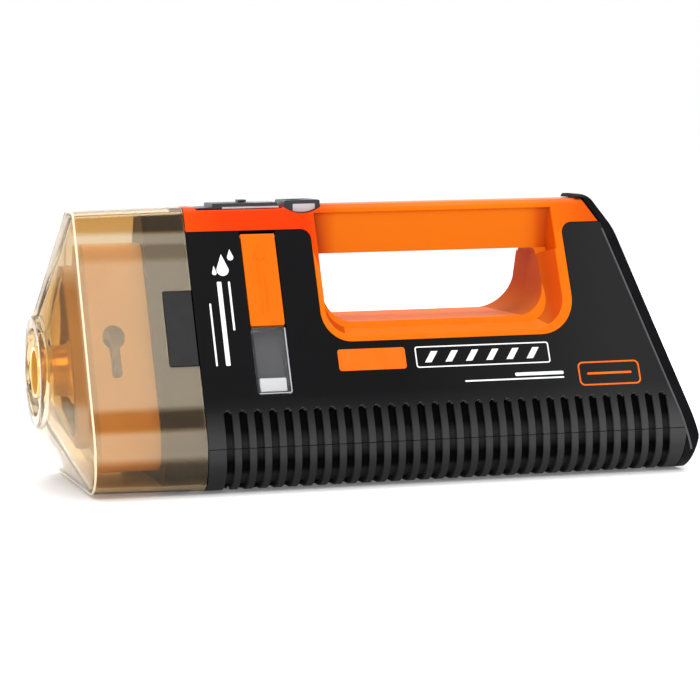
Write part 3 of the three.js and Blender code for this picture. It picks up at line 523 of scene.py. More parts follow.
LOOKS = {
    # Black shell, graded with a painted sheen by height and painted light towards the rear.
    "shell": look("shell_black", (0.004, 0.004, 0.005), (0.007, 0.007, 0.008), (0.38, 0.48), 1600, 0.16, ior=1.16),
    "cover": look("cover_black", (0.003, 0.003, 0.0035), (0.006, 0.006, 0.007), (0.38, 0.48), 1600, 0.1, ior=1.13),
    # Painted shade: the grooves darker than the shell, with painted reflections graded in by height.
    "groove": look("groove_painted_shade_and_reflection", (0.001, 0.001, 0.0012), (0.002, 0.002, 0.0022), (0.7, 0.85), 1600, 0.1, ior=1.08),
    # Painted highlight: pale grey on the rounded top end of each groove, where it catches the light.
    "glint": look("groove_end_painted_glint", (0.06, 0.06, 0.062), (0.08, 0.08, 0.082), (0.25, 0.35), 1600, 0.05),
    # Painted highlight: pale grey for the thin strip along the shells' rear edge.
    "seam": look("seam_painted_highlight_grey", (0.05, 0.05, 0.052), (0.066, 0.066, 0.068), (0.25, 0.35), 1600, 0.05),
    "collar": look("collar_black", (0.01, 0.01, 0.01), (0.015, 0.015, 0.015), (0.42, 0.52), 1400, 0.04, ior=1.35),
    "gloss": look("gloss_black", (0.004, 0.005, 0.01), (0.008, 0.01, 0.02), (0.12, 0.2), 500, 0.03, coat=0.4),
    # Grey trim; on the window rim it is a painted highlight.
    "trim": look("trim_grey_and_painted_highlight", (0.4, 0.39, 0.41), (0.52, 0.51, 0.54), (0.25, 0.35), 900, 0.05),
    "button": look("button_black", (0.012, 0.013, 0.018), (0.022, 0.023, 0.03), (0.25, 0.35), 1500, 0.1),
    # The band's orange, graded along its length as painted light.
    "band": look("orange_band_painted_light", (0.66, 0.03, 0.0004), (0.7, 0.04, 0.0008), (0.26, 0.36), 900, 0.06, ior=1.16),
    # Painted light: the band's orange plastic made lighter for the grip and the bezel, where they face the light.
    "grip": look("orange_grip", (0.66, 0.128, 0.001), (0.7, 0.142, 0.002), (0.4, 0.52), 1300, 0.1, ior=1.16),
    # The grip bar: a lighter copy of the orange as painted light, with painted shade at its ends.
    "grip_bar": look("orange_bar_painted_end_shade", (0.66, 0.128, 0.001), (0.7, 0.142, 0.002), (0.4, 0.52), 1300, 0.1, ior=1.16),
    # Painted shade on the opening's end walls, graded along the body.
    "grip_shade": look("orange_grip_painted_shade", (0.44, 0.07, 0.002), (0.5, 0.084, 0.003), (0.5, 0.62), 1300, 0.1, ior=1.1),
    "strip": look("orange_strip", (0.68, 0.122, 0.0008), (0.72, 0.136, 0.0015), (0.34, 0.44), 1200, 0.1, ior=1.18),
    # Amber cap with painted reflection bands.
    "cap": amber_look("amber_cap_painted_reflection", (0.75, 0.54, 0.27), (0.89, 0.78, 0.61)),
    "duct": look("amber_duct", (0.8, 0.42, 0.1), (0.88, 0.5, 0.15), (0.2, 0.32), 400, 0.03, ior=1.4),
    "flange": look("amber_flange", (0.62, 0.36, 0.07), (0.7, 0.42, 0.1), (0.12, 0.22), 400, 0.03, ior=1.4),
    "funnel": look(
        "amber_funnel", (0.95, 0.8, 0.5), (0.97, 0.84, 0.56), (0.04, 0.08), 400, 0.02, through=0.96, ior=1.12
    ),
    # Painted highlight: pale amber for bright edges of the cap.
    "edge": look("amber_painted_highlight", (0.74, 0.62, 0.42), (0.82, 0.7, 0.5), (0.14, 0.22), 500, 0.02, coat=0.2),
    "tube": look("golden_tube", (0.86, 0.54, 0.1), (0.94, 0.62, 0.15), (0.12, 0.22), 500, 0.03, metal=0.6, coat=0.5),
    "window": look(
        "smoky_window", (0.86, 0.86, 0.87), (0.9, 0.9, 0.91), (0.06, 0.1), 500, 0.02, through=0.975, ior=1.15
    ),
    "white": look("white_plastic", (0.8, 0.8, 0.79), (0.9, 0.9, 0.89), (0.35, 0.5), 900, 0.08),
    "print_white": look("print_white", (0.76, 0.76, 0.76), (0.86, 0.86, 0.86), (0.45, 0.6), 1800, 0.1),
    "print_orange": look("print_orange", (0.78, 0.12, 0.001), (0.84, 0.14, 0.002), (0.4, 0.55), 1800, 0.1, ior=1.25),
    "tank": look("smoky_tank", (0.085, 0.085, 0.088), (0.11, 0.11, 0.113), (0.3, 0.42), 500, 0.04, ior=1.2),
    "milky": look("milky_plastic", (0.62, 0.61, 0.57), (0.74, 0.73, 0.69), (0.3, 0.42), 500, 0.05, through=0.3),
    "rubber": look("rubber_black", (0.012, 0.012, 0.012), (0.022, 0.022, 0.022), (0.7, 0.85), 1500, 0.3),
    "steel": look("plated_steel", (0.55, 0.56, 0.57), (0.72, 0.73, 0.74), (0.2, 0.34), 1200, 0.06, metal=1.0),
    "brass": look("brass", (0.6, 0.36, 0.1), (0.8, 0.52, 0.18), (0.2, 0.32), 1200, 0.06, metal=1.0),
    "aluminium": look("cast_aluminium", (0.5, 0.51, 0.52), (0.66, 0.67, 0.68), (0.35, 0.5), 1300, 0.2, metal=1.0),
    "felt": look("needled_felt", (0.55, 0.51, 0.42), (0.74, 0.7, 0.6), (0.9, 1.0), 2200, 0.7),
    "board": look("board_green", (0.01, 0.08, 0.03), (0.016, 0.12, 0.045), (0.3, 0.45), 700, 0.1),
    "cell": look("cell_wrap", (0.02, 0.13, 0.28), (0.03, 0.17, 0.35), (0.25, 0.36), 600, 0.05),
}
for kind, axis, stops in (
    ("shell", "Z", SHELL_PAINTED_SHEEN_TONES), ("groove", "Z", GROOVE_PAINTED_REFLECTION_TONES), ("band", "X", BAND_PAINTED_LIGHT_TONES),
    ("grip_bar", "X", BAR_PAINTED_END_SHADE_TONES), ("grip_shade", "X", PAINTED_SHADE_TONES),
):
    graded(LOOKS[kind], axis, stops)
# The shell's colour gets painted light added, more towards the rear.
graded(LOOKS["shell"], "X", SIDE_PAINTED_LIGHT_TONES, "ADD", 1)


# ---------- the body's form ----------
def section_corners(top=TOP_Z):
    half = half_at(top)
    right = [(BODY_HALF, TRAY_Z, 14), (BODY_HALF, KNEE_Z, 28), (half, top, 5)]
    return [*right, *[(-y, z, r) for y, z, r in reversed(right)]]


def body_block(inset, x0, x1, top=TOP_Z):
    return prism(outline(section_corners(top), inset, 4), x0, x1, "x")


def skin(thick, x0=JOINT_X, x1=160.0):
    return cut(body_block(0, x0, x1), body_block(thick, x0 - 1, x1 + 1))


class Path:
    """A line through dense points, read by the distance along it."""

    def __init__(self, points):
        self.points = points
        self.marks = [0.0]
        for a, b in zip(points, points[1:]):
            self.marks.append(self.marks[-1] + (b - a).length)
        self.length = self.marks[-1]

    def at(self, s):
        s = min(max(s, 0), self.length)
        i = max(1, next((k for k, m in enumerate(self.marks) if m >= s), len(self.marks) - 1))
        share = (s - self.marks[i - 1]) / (self.marks[i] - self.marks[i - 1])
        return self.points[i - 1].lerp(self.points[i], share)

    def outward(self, s):
        along = (self.at(s + 0.4) - self.at(s - 0.4)).normalized()
        return Vector((along.y, -along.x))

    def where(self, test):
        """The first distance along the line at which test(point) holds."""
        low = next(k for k, p in enumerate(self.points) if test(p))
        a, b = self.marks[low - 1], self.marks[low]
        for _ in range(30):
            middle = (a + b) / 2
            if test(self.at(middle)):
                b = middle
            else:
                a = middle
        return b


def half_section():
    """The right half of the section, from the middle of the underside up to the top."""
    right = section_corners()[:3]
    points = outline([*right, (0, TOP_Z, 0), (0, TRAY_Z, 0)], 0, 1.0)
    return Path([Vector((0, TRAY_Z)), *points[:-2]])


SECTION = half_section()
VENT_S = (SECTION.where(lambda p: p.x > VENT_INNER_Y), SECTION.where(lambda p: p.y > VENT_TOP_Z))
SPLIT_S = SECTION.where(lambda p: p.y > SPLIT_Z)
BAND_S = SECTION.where(lambda p: p.y > BAND_Z - GAP / 2)


def vent_depth(x, s):
    """Depth of the vent grooves, which have round ends, at x and at distance s up the section."""
    nearest = round((x - FIRST_VENT_X) / VENT_PITCH)
    nearest = min(max(nearest, 0), VENT_COUNT - 1)
    across = abs(x - FIRST_VENT_X - nearest * VENT_PITCH)
    low, high = VENT_S[0] + VENT_HALF, VENT_S[1] - VENT_HALF
    beyond = max(low - s, s - high, 0)
    share = min(max((VENT_HALF + 0.12 - math.hypot(across, beyond)) / 0.42, 0), 1)
    return VENT_DEEP * share * share * (3 - 2 * share)


def vent_columns(x0, x1):
    marks = [x0, x1]
    for i in range(VENT_COUNT):
        centre = FIRST_VENT_X + i * VENT_PITCH
        for off in (0.0, 0.7, 1.15, 1.4, 1.55, 1.7, 1.84, 2.1, 2.7):
            marks += [centre - off, centre + off]
    return sorted({round(m, 3) for m in marks if x0 <= m <= x1})


def vent_rows(s0, s1):
    marks = [s0, s1]
    for end, inward in ((VENT_S[0], 1), (VENT_S[1], -1)):
        marks += [end + inward * off for off in (-0.8, -0.12, 0.02, 0.16, 0.3, 0.5, 0.8, 1.2, 1.72, 2.4)]
    marks += [VENT_S[0] + 1.4 * k for k in range(2, 60) if VENT_S[0] + 1.4 * k < VENT_S[1] - 2.6]
    marks += [VENT_S[1] + 8 * k for k in range(1, 12)]
    return sorted({round(m, 3) for m in marks if s0 <= m <= s1})


def ribbed_wall(rows):
    """A curved wall that follows the section. A row is (side, s): side -1 or 1, s the distance up the section."""
    columns = vent_columns(JOINT_X + GAP / 2, RIBBED_END_X)
    n = len(columns)
    outer, inner = [], []
    for side, s in rows:
        point, out = SECTION.at(s), SECTION.outward(s)
        for x in columns:
            p = point - out * vent_depth(x, s)
            outer.append((x, side * p.x, p.y))
            q = point - out * RIBBED_THICK
            inner.append((x, side * q.x, q.y))
    total = len(outer)
    faces = []
    for r in range(len(rows) - 1):
        for c in range(n - 1):
            a = r * n + c
            faces.append((a, a + 1, a + n + 1, a + n))
            faces.append((total + a, total + a + n, total + a + n + 1, total + a + 1))
    top = (len(rows) - 1) * n
    border = [(c, c + 1) for c in range(n - 1)] + [(top + c, top + c + 1) for c in range(n - 1)]
    border += [(r * n, (r + 1) * n) for r in range(len(rows) - 1)]
    border += [(r * n + n - 1, (r + 1) * n + n - 1) for r in range(len(rows) - 1)]
    faces += [(a, b, total + b, total + a) for a, b in border]
    wall = solid(outer + inner, faces)
    top_end = VENT_S[1] - VENT_HALF

    def mark(face):
        row, column = divmod(face.index // 2, n - 1)
        if row >= len(rows) - 1 or face.index % 2:
            return "shell"
        s = (rows[row][1] + rows[row + 1][1]) / 2
        depth = vent_depth((columns[column] + columns[column + 1]) / 2, s)
        # Faces just below each groove's top end get the painted highlight.
        if s > top_end + 0.5 and 0.05 < depth < 1.9:
            return "glint"
        # Deep faces get the grooves' painted shade.
        return "groove" if depth > 0.9 else "shell"

    return marked(wall, RIBBED, mark)


def shell_side_view():
    corners = [
        (JOINT_X, SPLIT_Z - 5, 0),
        (rear_at(SPLIT_Z - 5) - COVER_DEEP, SPLIT_Z - 5, 0),
        (rear_at(BAND_Z) - COVER_DEEP, BAND_Z, 0),
        (CUT_REAR_X, BAND_Z, 5),
        (CUT_REAR_X, CUT_FLOOR_Z, 17),
        (CUT_FRONT_X, CUT_FLOOR_Z, 13),
        (CUT_FRONT_X, BAND_Z, 4.5),
        (JOINT_X, BAND_Z, 0),
    ]
    return prism(outline(corners, GAP / 2, 4), -FAR, FAR, "y")


def slot_cutter():
    tall = slope(BAND_Z + 2 - WINDOW_Z[0])
    plan = outline(rectangle(-SLOT_HALF, 0, SLOT_HALF, tall, 1.5))
    return moved(prism(plan, -12, 8, "z"), side_frame(SLOT_X, WINDOW_Z[0]))


def screw_holes(z0, z1, radius=SCREW_HOLE):
    return [prism(circle(radius, x, y, 32), z0, z1, "z") for x, y in SCREWS]


def side_shell(side, name):
    rows = [(side, s) for s in vent_rows(SPLIT_S + GAP / 2, BAND_S)]
    wall = common(ribbed_wall(rows), shell_side_view())
    if side < 0:
        cut(wall, slot_cutter())
    finish(wall, name + "_ribbed", RIBBED, "housing", [name])


def base_tray():
    rising = vent_rows(0, SPLIT_S - GAP / 2)
    rows = [(-1, s) for s in reversed(rising)] + [(1, s) for s in rising[1:]]
    corners = [
        (JOINT_X, TRAY_Z - 5, 0),
        (COVER_FOOT_X, TRAY_Z - 5, 0),
        (rear_at(SPLIT_Z) - COVER_DEEP, SPLIT_Z, 0),
        (JOINT_X, SPLIT_Z, 0),
    ]
    wall = common(ribbed_wall(rows), prism(outline(corners, GAP / 2), -FAR, FAR, "y"))
    for x, y in SCREWS:
        join(wall, prism(circle(BOSS_RADIUS, x, y), TRAY_Z + 1.6, SPLIT_Z - 0.2, "z"))
    cut(wall, *screw_holes(-1, 30), *screw_holes(-1, 3.2, SCREW_HEAD))
    for x, y in FEET:
        cut(wall, prism(circle(FOOT_RADIUS + GAP, x, y), -1, TRAY_Z + 1.2, "z"))
    finish(wall, "base_tray_ribbed", RIBBED, "housing", ["base_tray"])


def seam_painted_highlight():
    """A painted highlight: a thin pale grey strip on the shells along the rear cover, where their edge catches the
    light.
    """
    top, foot = [(rear_at(z) - COVER_DEEP - GAP / 2, z) for z in (108, 10)]
    corners = [Vector((x - back, z)) for back, (x, z) in ((0.1, top), (0.1, foot), (1.0, foot), (1.0, top))]
    strip = prism(corners, -FAR, FAR, "y")
    line = cut(body_block(-0.07, 90, 160), body_block(0.4, 89, 161))
    finish(common(line, strip), "shell_seam_painted_highlight", "seam", "housing")


# ---------- orange frame ----------
def flare(rim_corners, deep_corners, grow):
    """A hollow in the slanted left side that narrows from one outline to another."""

    def on_slope(corners):
        return [(x, slope(z), r) for x, z, r in corners]

    to_body = side_frame(0, 0)
    rim = outline(on_slope(rim_corners), -grow, 5)
    deep = outline(on_slope(deep_corners), -grow, 5)
    rings = []
    for depth in (-3.0, 0.0, 0.6, 1.4, 2.6, 4.2, FLARE_DEEP, 14.0):
        share = max(0.0, 1 - depth / FLARE_DEEP)
        rings.append([to_body @ Vector((*b.lerp(a, share), -depth)) for a, b in zip(rim, deep)])
    return rings_solid(rings)


def left_recess(grow):
    below = block(-FAR, FAR, -FAR, FAR, 0, GRIP_FLOOR_Z + min(grow, 0.1))
    lower = common(flare(RIM_CORNERS, FLARED_CORNERS, grow), below)
    pocket_rim = rectangle(RIM_CORNERS[0][0], GRIP_FLOOR_Z, RIM_CORNERS[1][0], RECESS_TOP_Z)
    pocket_back = rectangle(POCKET_BACK_X[0], GRIP_FLOOR_Z, POCKET_BACK_X[1], RECESS_TOP_Z)
    join(lower, flare(pocket_rim, pocket_back, grow))
    outside = [
        (-FAR, FAR, 0),
        (-FAR, TUNNEL[0][1] - 20, 0),
        (-RECESS_FLOOR_HALF - 10 + grow, TUNNEL[0][1] - 20, 0),
        (-RECESS_FLOOR_HALF + grow, TUNNEL[0][1], 0),
        (-GRIP_HALF + grow, GRIP_FLOOR_Z, 0),
        (-GRIP_HALF + grow, FAR, 0),
    ]
    return common(lower, prism(outline(outside), -FAR, FAR, "x"))


def opening(grow=0.0):
    left = left_recess(grow)
    right = mirrored(copied(left))
    return join(prism(outline(TUNNEL, -grow, 5), -FAR, FAR, "y"), left, right)


def orange_region():
    corners = [
        (JOINT_X, BAND_Z, 0),
        (CUT_FRONT_X, BAND_Z, 4.5),
        (CUT_FRONT_X, CUT_FLOOR_Z, 13),
        (CUT_REAR_X, CUT_FLOOR_Z, 17),
        (CUT_REAR_X, BAND_Z, 5),
        (rear_at(BAND_Z) - COVER_DEEP - 1, BAND_Z, 0),
        (106.6, 120.2, 3),
        (COVER_LIP_X, TOP_Z + 8, 0),
        (JOINT_X, TOP_Z + 8, 0),
    ]
    return prism(outline(corners, GAP / 2, 5), -FAR, FAR, "y")


def orange_frame():
    liner = common(opening(WALL), body_block(0, JOINT_X, 160), orange_region())
    whole = cut(join(common(skin(WALL), orange_region()), liner), opening())
    x0, x1 = BUTTON_X
    cut(whole, block(x0 - 0.4, x1 + 0.4, -BUTTON_HALF - 0.4, BUTTON_HALF + 0.4, 112, 130))
    cut(whole, prism(circle(SCOOP_RADIUS, SCOOP_X, SCOOP_Z, 128), -30, 30, "y"))
    cut(whole, block(*LEDGE_X, -30, 30, LEDGE_Z, 130))
    return whole


HANDLE_LOOKS = ("band", "grip", "grip_shade", "grip_bar")


def handle_mark(face):
    """The band outside; a lighter copy of the orange, as painted light, in and round the opening; the bar apart, and
    the end walls in painted shade.
    """
    c = face.center
    inside = abs(c.y) < half_at(c.z) - 0.6 and c.z < RECESS_TOP_Z + 0.2
    if inside and RIM_CORNERS[0][0] - 0.1 < c.x < RIM_CORNERS[1][0] + 0.1:
        # End walls facing along the body get the painted shade.
        if abs(face.normal.x) > 0.2:
            return "grip_shade"
        return "grip_bar" if c.z > GRIP_FLOOR_Z - 0.3 else "grip"
    return "grip" if c.z < GRIP_FLOOR_Z else "band"


def handle_halves():
    whole = orange_frame()
    right = copied(whole)
    for piece, side, name in ((whole, -1, "handle_left"), (right, 1, "handle_right")):
        low, high = (-FAR, -SPLIT_HALF) if side < 0 else (SPLIT_HALF, FAR)
        common(piece, block(-FAR, FAR, low, high, -10, FAR))
        marked(piece, HANDLE_LOOKS, handle_mark)
        finish(piece, name + "_moulding", HANDLE_LOOKS, "housing", [name], 0.5, flat=True)


# ---------- rear cover ----------
def rear_cover():
    proud = 2.0
    side = [
        (COVER_FOOT_X + GAP / 2, TRAY_Z - 5, 0),
        (140.2, TRAY_Z - 5, 0),
        (141.4, TRAY_Z, 1),
        (REAR_X + 0.5, REAR_Z - 2, 6),
        (rear_at(BAND_Z - 3), BAND_Z - 3, 25),
        (109, TOP_Z + proud, 7),
        (COVER_LIP_X, TOP_Z + proud, 0),
        (COVER_LIP_X, TOP_Z + GAP, 0),
        (106.9, TOP_Z + GAP, 0),
        (107.4, 120, 2),
        (rear_at(BAND_Z) - COVER_DEEP + GAP / 2, BAND_Z, 0),
        (rear_at(SPLIT_Z) - COVER_DEEP + GAP / 2, SPLIT_Z, 0),
    ]
    whole = common(prism(outline(side), -FAR, FAR, "y"), body_block(0, 90, 160, TOP_Z + proud))
    recess = outline(rectangle(-CHARGE_HALF - GAP, -CHARGE_HALF - 1.5, CHARGE_HALF + GAP, CHARGE_HALF + 1.1, 1))
    to_body = rear_frame(CHARGE_Z)
    cut(whole, moved(prism(recess, -1.7, 4.3, "z"), to_body))
    cut(whole, moved(prism(circle(SOCKET_RADIUS), -12, 3, "z"), to_body))
    for s in (-1, 1):
        at = rear_frame(REAR_SCREW_Z) @ Matrix.Translation((s * REAR_SCREW_Y, 0, 0))
        cut(whole, moved(prism(circle(SCREW_HEAD), -1.9, 3, "z"), at))
        cut(whole, moved(prism(circle(SCREW_HOLE), -20, 3, "z"), at))
    finish(whole, "rear_cover_moulding", "cover", "housing", ["rear_cover"], 0.8, flat=True)


# ---------- nozzle: cap, duct, collar and tube ----------
def even_ring(corners, spacing):
    """(point, inward direction) pairs at even distances round a closed rounded outline."""
    points = outline(corners, 0, 2.0)
    path = Path([*points, points[0]])
    count = round(path.length / spacing)
    made = []
    for k in range(count):
        s = path.length * k / count
        ahead = path.at((s + 0.3) % path.length)
        behind = path.at((s - 0.3) % path.length)
        along = (ahead - behind).normalized()
        made.append((path.at(s), Vector((-along.y, along.x))))
    return made


def section_ring(base, inset, x, share=1.0, middle=60.0):
    ring = []
    for point, inward in base:
        p = point + inward * inset
        ring.append(Vector((x, p.x * share, middle + (p.y - middle) * share)))
    return ring


def circle_ring(like, radius, x):
    ring = []
    for p in like:
        angle = math.atan2(p.z - NOZZLE_Z, p.y)
        ring.append(Vector((x, radius * math.cos(angle), NOZZLE_Z + radius * math.sin(angle))))
    return ring


def between(a, b, steps):
    return [[p.lerp(q, k / steps) for p, q in zip(a, b)] for k in range(1, steps)]


def nozzle_cap():
    base = even_ring(section_corners(), 1.7)
    taper, wall = 0.985, 2.4
    back = section_ring(base, 0, JOINT_X - GAP)
    rim = section_ring(base, 0, RIM_X + 0.9, taper)
    turn = section_ring(base, 0.35, RIM_X + 0.15, taper)
    shoulder = section_ring(base, 1.2, RIM_X - 0.35, taper)
    lip = [(24.8, 1.1), (24.6, 0.45), (24.0, 0.05), (23.2, 0.0), (20.2, 0.0), (19.4, 0.3), (19.0, 1.1), (19.0, 4.0)]
    lip_rings = [circle_ring(rim, radius, NOSE_X + deep) for radius, deep in lip]
    inner_lip = circle_ring(rim, 22.2, NOSE_X + 3.8)
    inner_rim = section_ring(base, wall + 0.6, RIM_X + 0.9, taper)
    inner_turn = section_ring(base, wall, RIM_X + 2.2, taper)
    inner_back = section_ring(base, wall, JOINT_X - GAP)
    rings = [back, *between(back, rim, 6), rim, turn, shoulder, *between(shoulder, lip_rings[0], 10), *lip_rings]
    rings += [inner_lip, *between(inner_lip, inner_rim, 10), inner_rim, inner_turn]
    rings += [*between(inner_turn, inner_back, 6), inner_back]
    cap = rings_solid(rings, closed=True)
    notch = outline(rectangle(NOTCH_X, NOTCH_Z[0], JOINT_X + 5, NOTCH_Z[1], 1.2))
    cut(cap, prism(notch, -80, 80, "y"))
    finish(cap, "nozzle_cap_amber", "cap", "nozzle_cap", ["nozzle_cap"], smooth=40, flat=True)
    # A painted highlight: a thin pale ring along the cap's rim, where the rim edge catches the light.
    painted_highlight = [(-0.02, 0.95), (-0.16, 0.7), (-0.16, 0.3), (0.12, 0.0), (0.6, 0.1), (0.5, 0.9)]
    painted_highlight_rings = [section_ring(base, inset, RIM_X + ahead, taper) for inset, ahead in painted_highlight]
    finish(rings_solid(painted_highlight_rings, closed=True), "cap_rim_painted_highlight", "edge", "nozzle_cap")
    # Painted highlights: two small pale blocks at the cap's rear edge.
    for name, y0, y1, z0, z1 in (("top", -3.6, 3.6, 120.4, 121.7), ("foot", -38.0, -31.0, 0.7, 1.9)):
        highlight_tab = block(-83.4, JOINT_X - GAP, y0, y1, z0, z1)
        finish(highlight_tab, f"cap_highlight_tab_{name}", "edge", "nozzle_cap", bevel=0.25)


DUCT_LOOKS, FLANGE_X, FUNNEL_X = ("duct", "flange", "funnel"), -123.6, -131.0


def duct_mark(face):
    return "funnel" if face.center.x < FUNNEL_X else "flange" if face.center.x < FLANGE_X else "duct"


def fog_duct():
    """A box with a smaller box in front of it, from which a funnel narrows to the outlet."""
    corners = [(44, 10, 9), (44, 28, 20), (7.4, 106, 6), (-7.4, 106, 6), (-44, 28, 20), (-44, 10, 9)]
    base = even_ring(corners, 2.2)
    wall, small = 1.6, 0.8
    outer = [section_ring(base, 0, COLLAR_X - GAP), section_ring(base, 0, -123.4), section_ring(base, 0.6, -124.0)]
    outer += [section_ring(base, 0.3, -126.3, small), section_ring(base, 0, -126.8, small)]
    outer += [section_ring(base, 0, -131.2, small), section_ring(base, 0.5, -131.6, small)]
    funnel = circle_ring(outer[-1], 18, -139.6)
    inner = [section_ring(base, wall, -130.4, small), section_ring(base, wall, -125.7, small)]
    inner += [section_ring(base, wall, -123.0), section_ring(base, wall, COLLAR_X - GAP)]
    hole = [circle_ring(funnel, 12, -139.6), circle_ring(funnel, 12, -138.2)]
    inner_funnel = circle_ring(funnel, 16.4, -138.2)
    rings = [outer[0], *between(outer[0], outer[1], 4), *outer[1:], *between(outer[-1], funnel, 8), funnel, *hole]
    rings += [inner_funnel, *between(inner_funnel, inner[0], 8), *inner]
    duct = rings_solid(rings, closed=True)
    cut(duct, prism(outline(rectangle(-116, 50, -111.4, 67, 2.2)), -100, 100, "y"))
    cut(duct, prism(circle(5, -113.7, 67), -100, 100, "y"))
    marked(duct, DUCT_LOOKS, duct_mark)
    finish(duct, "fog_duct_amber", DUCT_LOOKS, "housing", ["fog_duct"], smooth=40, flat=True)


def front_collar():
    sleeve = WALL + GAP
    tube = cut(body_block(sleeve, COLLAR_X, -72), body_block(sleeve + 2.5, COLLAR_X + 2.5, -71))
    key = cut(body_block(0.35, NOTCH_X + 0.4, JOINT_X - 0.4), body_block(sleeve + 0.5, -100, -70))
    common(key, block(-100, -70, -80, 80, NOTCH_Z[0] + 0.4, NOTCH_Z[1] - 0.4))
    join(tube, key)
    cut(tube, prism(circle(17.6, 0, NOZZLE_Z), -100, -90, "x"))
    finish(tube, "front_collar_moulding", "collar", "housing", ["front_collar"], 0.35)


def outlet_tube():
    profile = [
        (-144.4, 10.2), (-144.1, 9.6), (-119.4, 9.6), (-119.4, 11.4), (-126.6, 11.4), (-127.0, 15.0), (-128.6, 15.0),
        (-129.0, 14.4), (-130.2, 12.2), (-132.0, 11.4), (-143.9, 11.4), (-144.4, 11.0),
    ]
    tube = turned(profile, "x", 96)
    finish(tube, "outlet_tube_golden", "tube", "housing", ["outlet_tube"], smooth=40)


# ---------- filler flap, window and float ----------
def filler():
    at = side_frame(SLOT_X, FLAP_Z[0])
    top = slope(FLAP_Z[1] - FLAP_Z[0]) - HINGE_BACK
    leaf = plate(-FLAP_HALF, 0, FLAP_HALF, top, 0.9, -FLAP_THICK, 0)
    join(leaf, prism(circle(FLAP_THICK / 2, top, -FLAP_THICK / 2), -FLAP_HALF, FLAP_HALF, "x"))
    finish(moved(leaf, at), "filler_flap_moulding", "strip", "filler_flap", ["filler_flap"], 0.35)
    for i, (x0, x1, y0, y1) in enumerate(((-1.6, -0.9, 6, 30), (0.9, 1.6, 6, 24))):
        ridge = plate(x0, y0, x1, y1, 0.34, -0.1, 0.22)
        finish(moved(ridge, at), f"flap_relief_{i + 1}", "strip", "filler_flap", bevel=0.08)
    drop = shifted(prism(droplet(2.1, 5.2), -0.1, 0.22, "z"), 0, 32.5, 0)
    finish(moved(drop, at), "flap_relief_drop", "strip", "filler_flap", bevel=0.08)


def level_gauge():
    at = side_frame(SLOT_X, WINDOW_Z[0])
    tall = slope(WINDOW_Z[1] - WINDOW_Z[0])
    half = SLOT_HALF - GAP
    shell = plate(-half, GAP, half, tall, 1.3, -6.6, -0.2)
    cut(shell, plate(-half + 1.3, GAP + 1.6, half - 1.3, tall - 1.4, 0.6, -6.7, -2.1))
    finish(moved(shell, at), "level_window_smoky", "window", "housing", ["level_window"], 0.3)
    # Painted highlight: a light grey ring where the clear window's edges catch the light.
    rim = plate(-half + 0.35, GAP + 0.35, half - 0.35, tall - 0.2, 1.0, -0.3, -0.05)
    cut(rim, plate(-half - 2, GAP + 0.75, half - 0.75, tall + 2, 0.8, -1, 1))
    finish(moved(rim, at), "window_rim_painted_highlight", "trim", "housing")
    buoy = shifted(plate(-6, 0, 6, 6.2, 0.6, 0, 2.6), 0, 2.3, -5.2)
    finish(moved(buoy, at), "level_float_block", "white", "level_float", ["level_float"], 0.35)


# ---------- printed graphics on the left side ----------
def droplet(radius, tall):
    """A plain drop, round below and pointed above, with its round end centred on the origin."""
    lean = math.acos(radius / tall)
    first, last = math.pi / 2 + lean, math.pi * 2.5 - lean
    turns = [first + (last - first) * k / 24 for k in range(25)]
    return [Vector((0, tall)), *[Vector((radius * math.cos(t), radius * math.sin(t))) for t in turns]]


def printed(name, colour, x, z, *outlines):
    """A thin printed mark on the slanted side: the first outline less the others, from a point on the surface."""
    mark = prism(outlines[0], -0.1, 0.07, "z")
    for hole in outlines[1:]:
        cut(mark, prism(hole, -1, 1, "z"))
    moved(mark, side_frame(x, z))
    finish(mark, name, colour, "housing")


def bar(x0, y0, x1, y1, radius=0.4):
    return outline(rectangle(x0, y0, x1, y1, radius), 0, 15)


DROPS = ((-64.4, 94.5, 2.7, 7.4), (-60.4, 99.8, 1.4, 3.8), (-68.2, 93.4, 1.0, 3.4))  # x, z, radius, height
COLUMNS = ((-71.6, 54.4, 80.6, 0.8), (-66.6, 54.4, 89.6, 2.0), (-62.2, 69.0, 89.6, 0.9))  # x, low z, high z, width


def graphics():
    tall, row_z, wide, line = slope(9.0), 50.3, 62, 0.55
    printed("print_bar_solid", "print_orange", -17.6, row_z, bar(0, 0, 30.5, tall, 1.2))
    inner = bar(line, line, wide - line, tall - line, 0.8)
    printed("print_bar_open", "print_white", 17.4, row_z, bar(0, 0, wide, tall, 1.2), inner)
    for i in range(6):
        x = 4.0 + i * 9.4
        slash = [Vector((x, 2.4)), Vector((x + 3.0, 2.4)), Vector((x + 6.4, tall - 2.4)), Vector((x + 3.4, tall - 2.4))]
        printed(f"print_slash_{i + 1}", "print_white", 17.4, row_z, slash)
    printed("print_tail_open", "print_orange", 91.6, 39.8, bar(0, 0, 29, 11.2, 2.4), bar(0.7, 0.7, 28.3, 10.5, 1.8))
    printed("print_tail_core", "print_orange", 91.6, 39.8, bar(4, 5.1, 25, 6.1, 0.45))
    printed("print_line", "print_white", 38.6, 43.6, bar(0, 0, 46, 0.7, 0.3))
    printed("print_dash", "print_white", 62, 45.2, bar(0, 0, 22.6, 1.5, 0.6))
    for i, (x, z, radius, high) in enumerate(DROPS):
        printed(f"print_drop_{i + 1}", "print_white", x, z, droplet(radius, high))
    for i, (x, low, high, thick) in enumerate(COLUMNS):
        printed(f"print_column_{i + 1}", "print_white", x, low, bar(-thick / 2, 0, thick / 2, slope(high - low), 0.35))


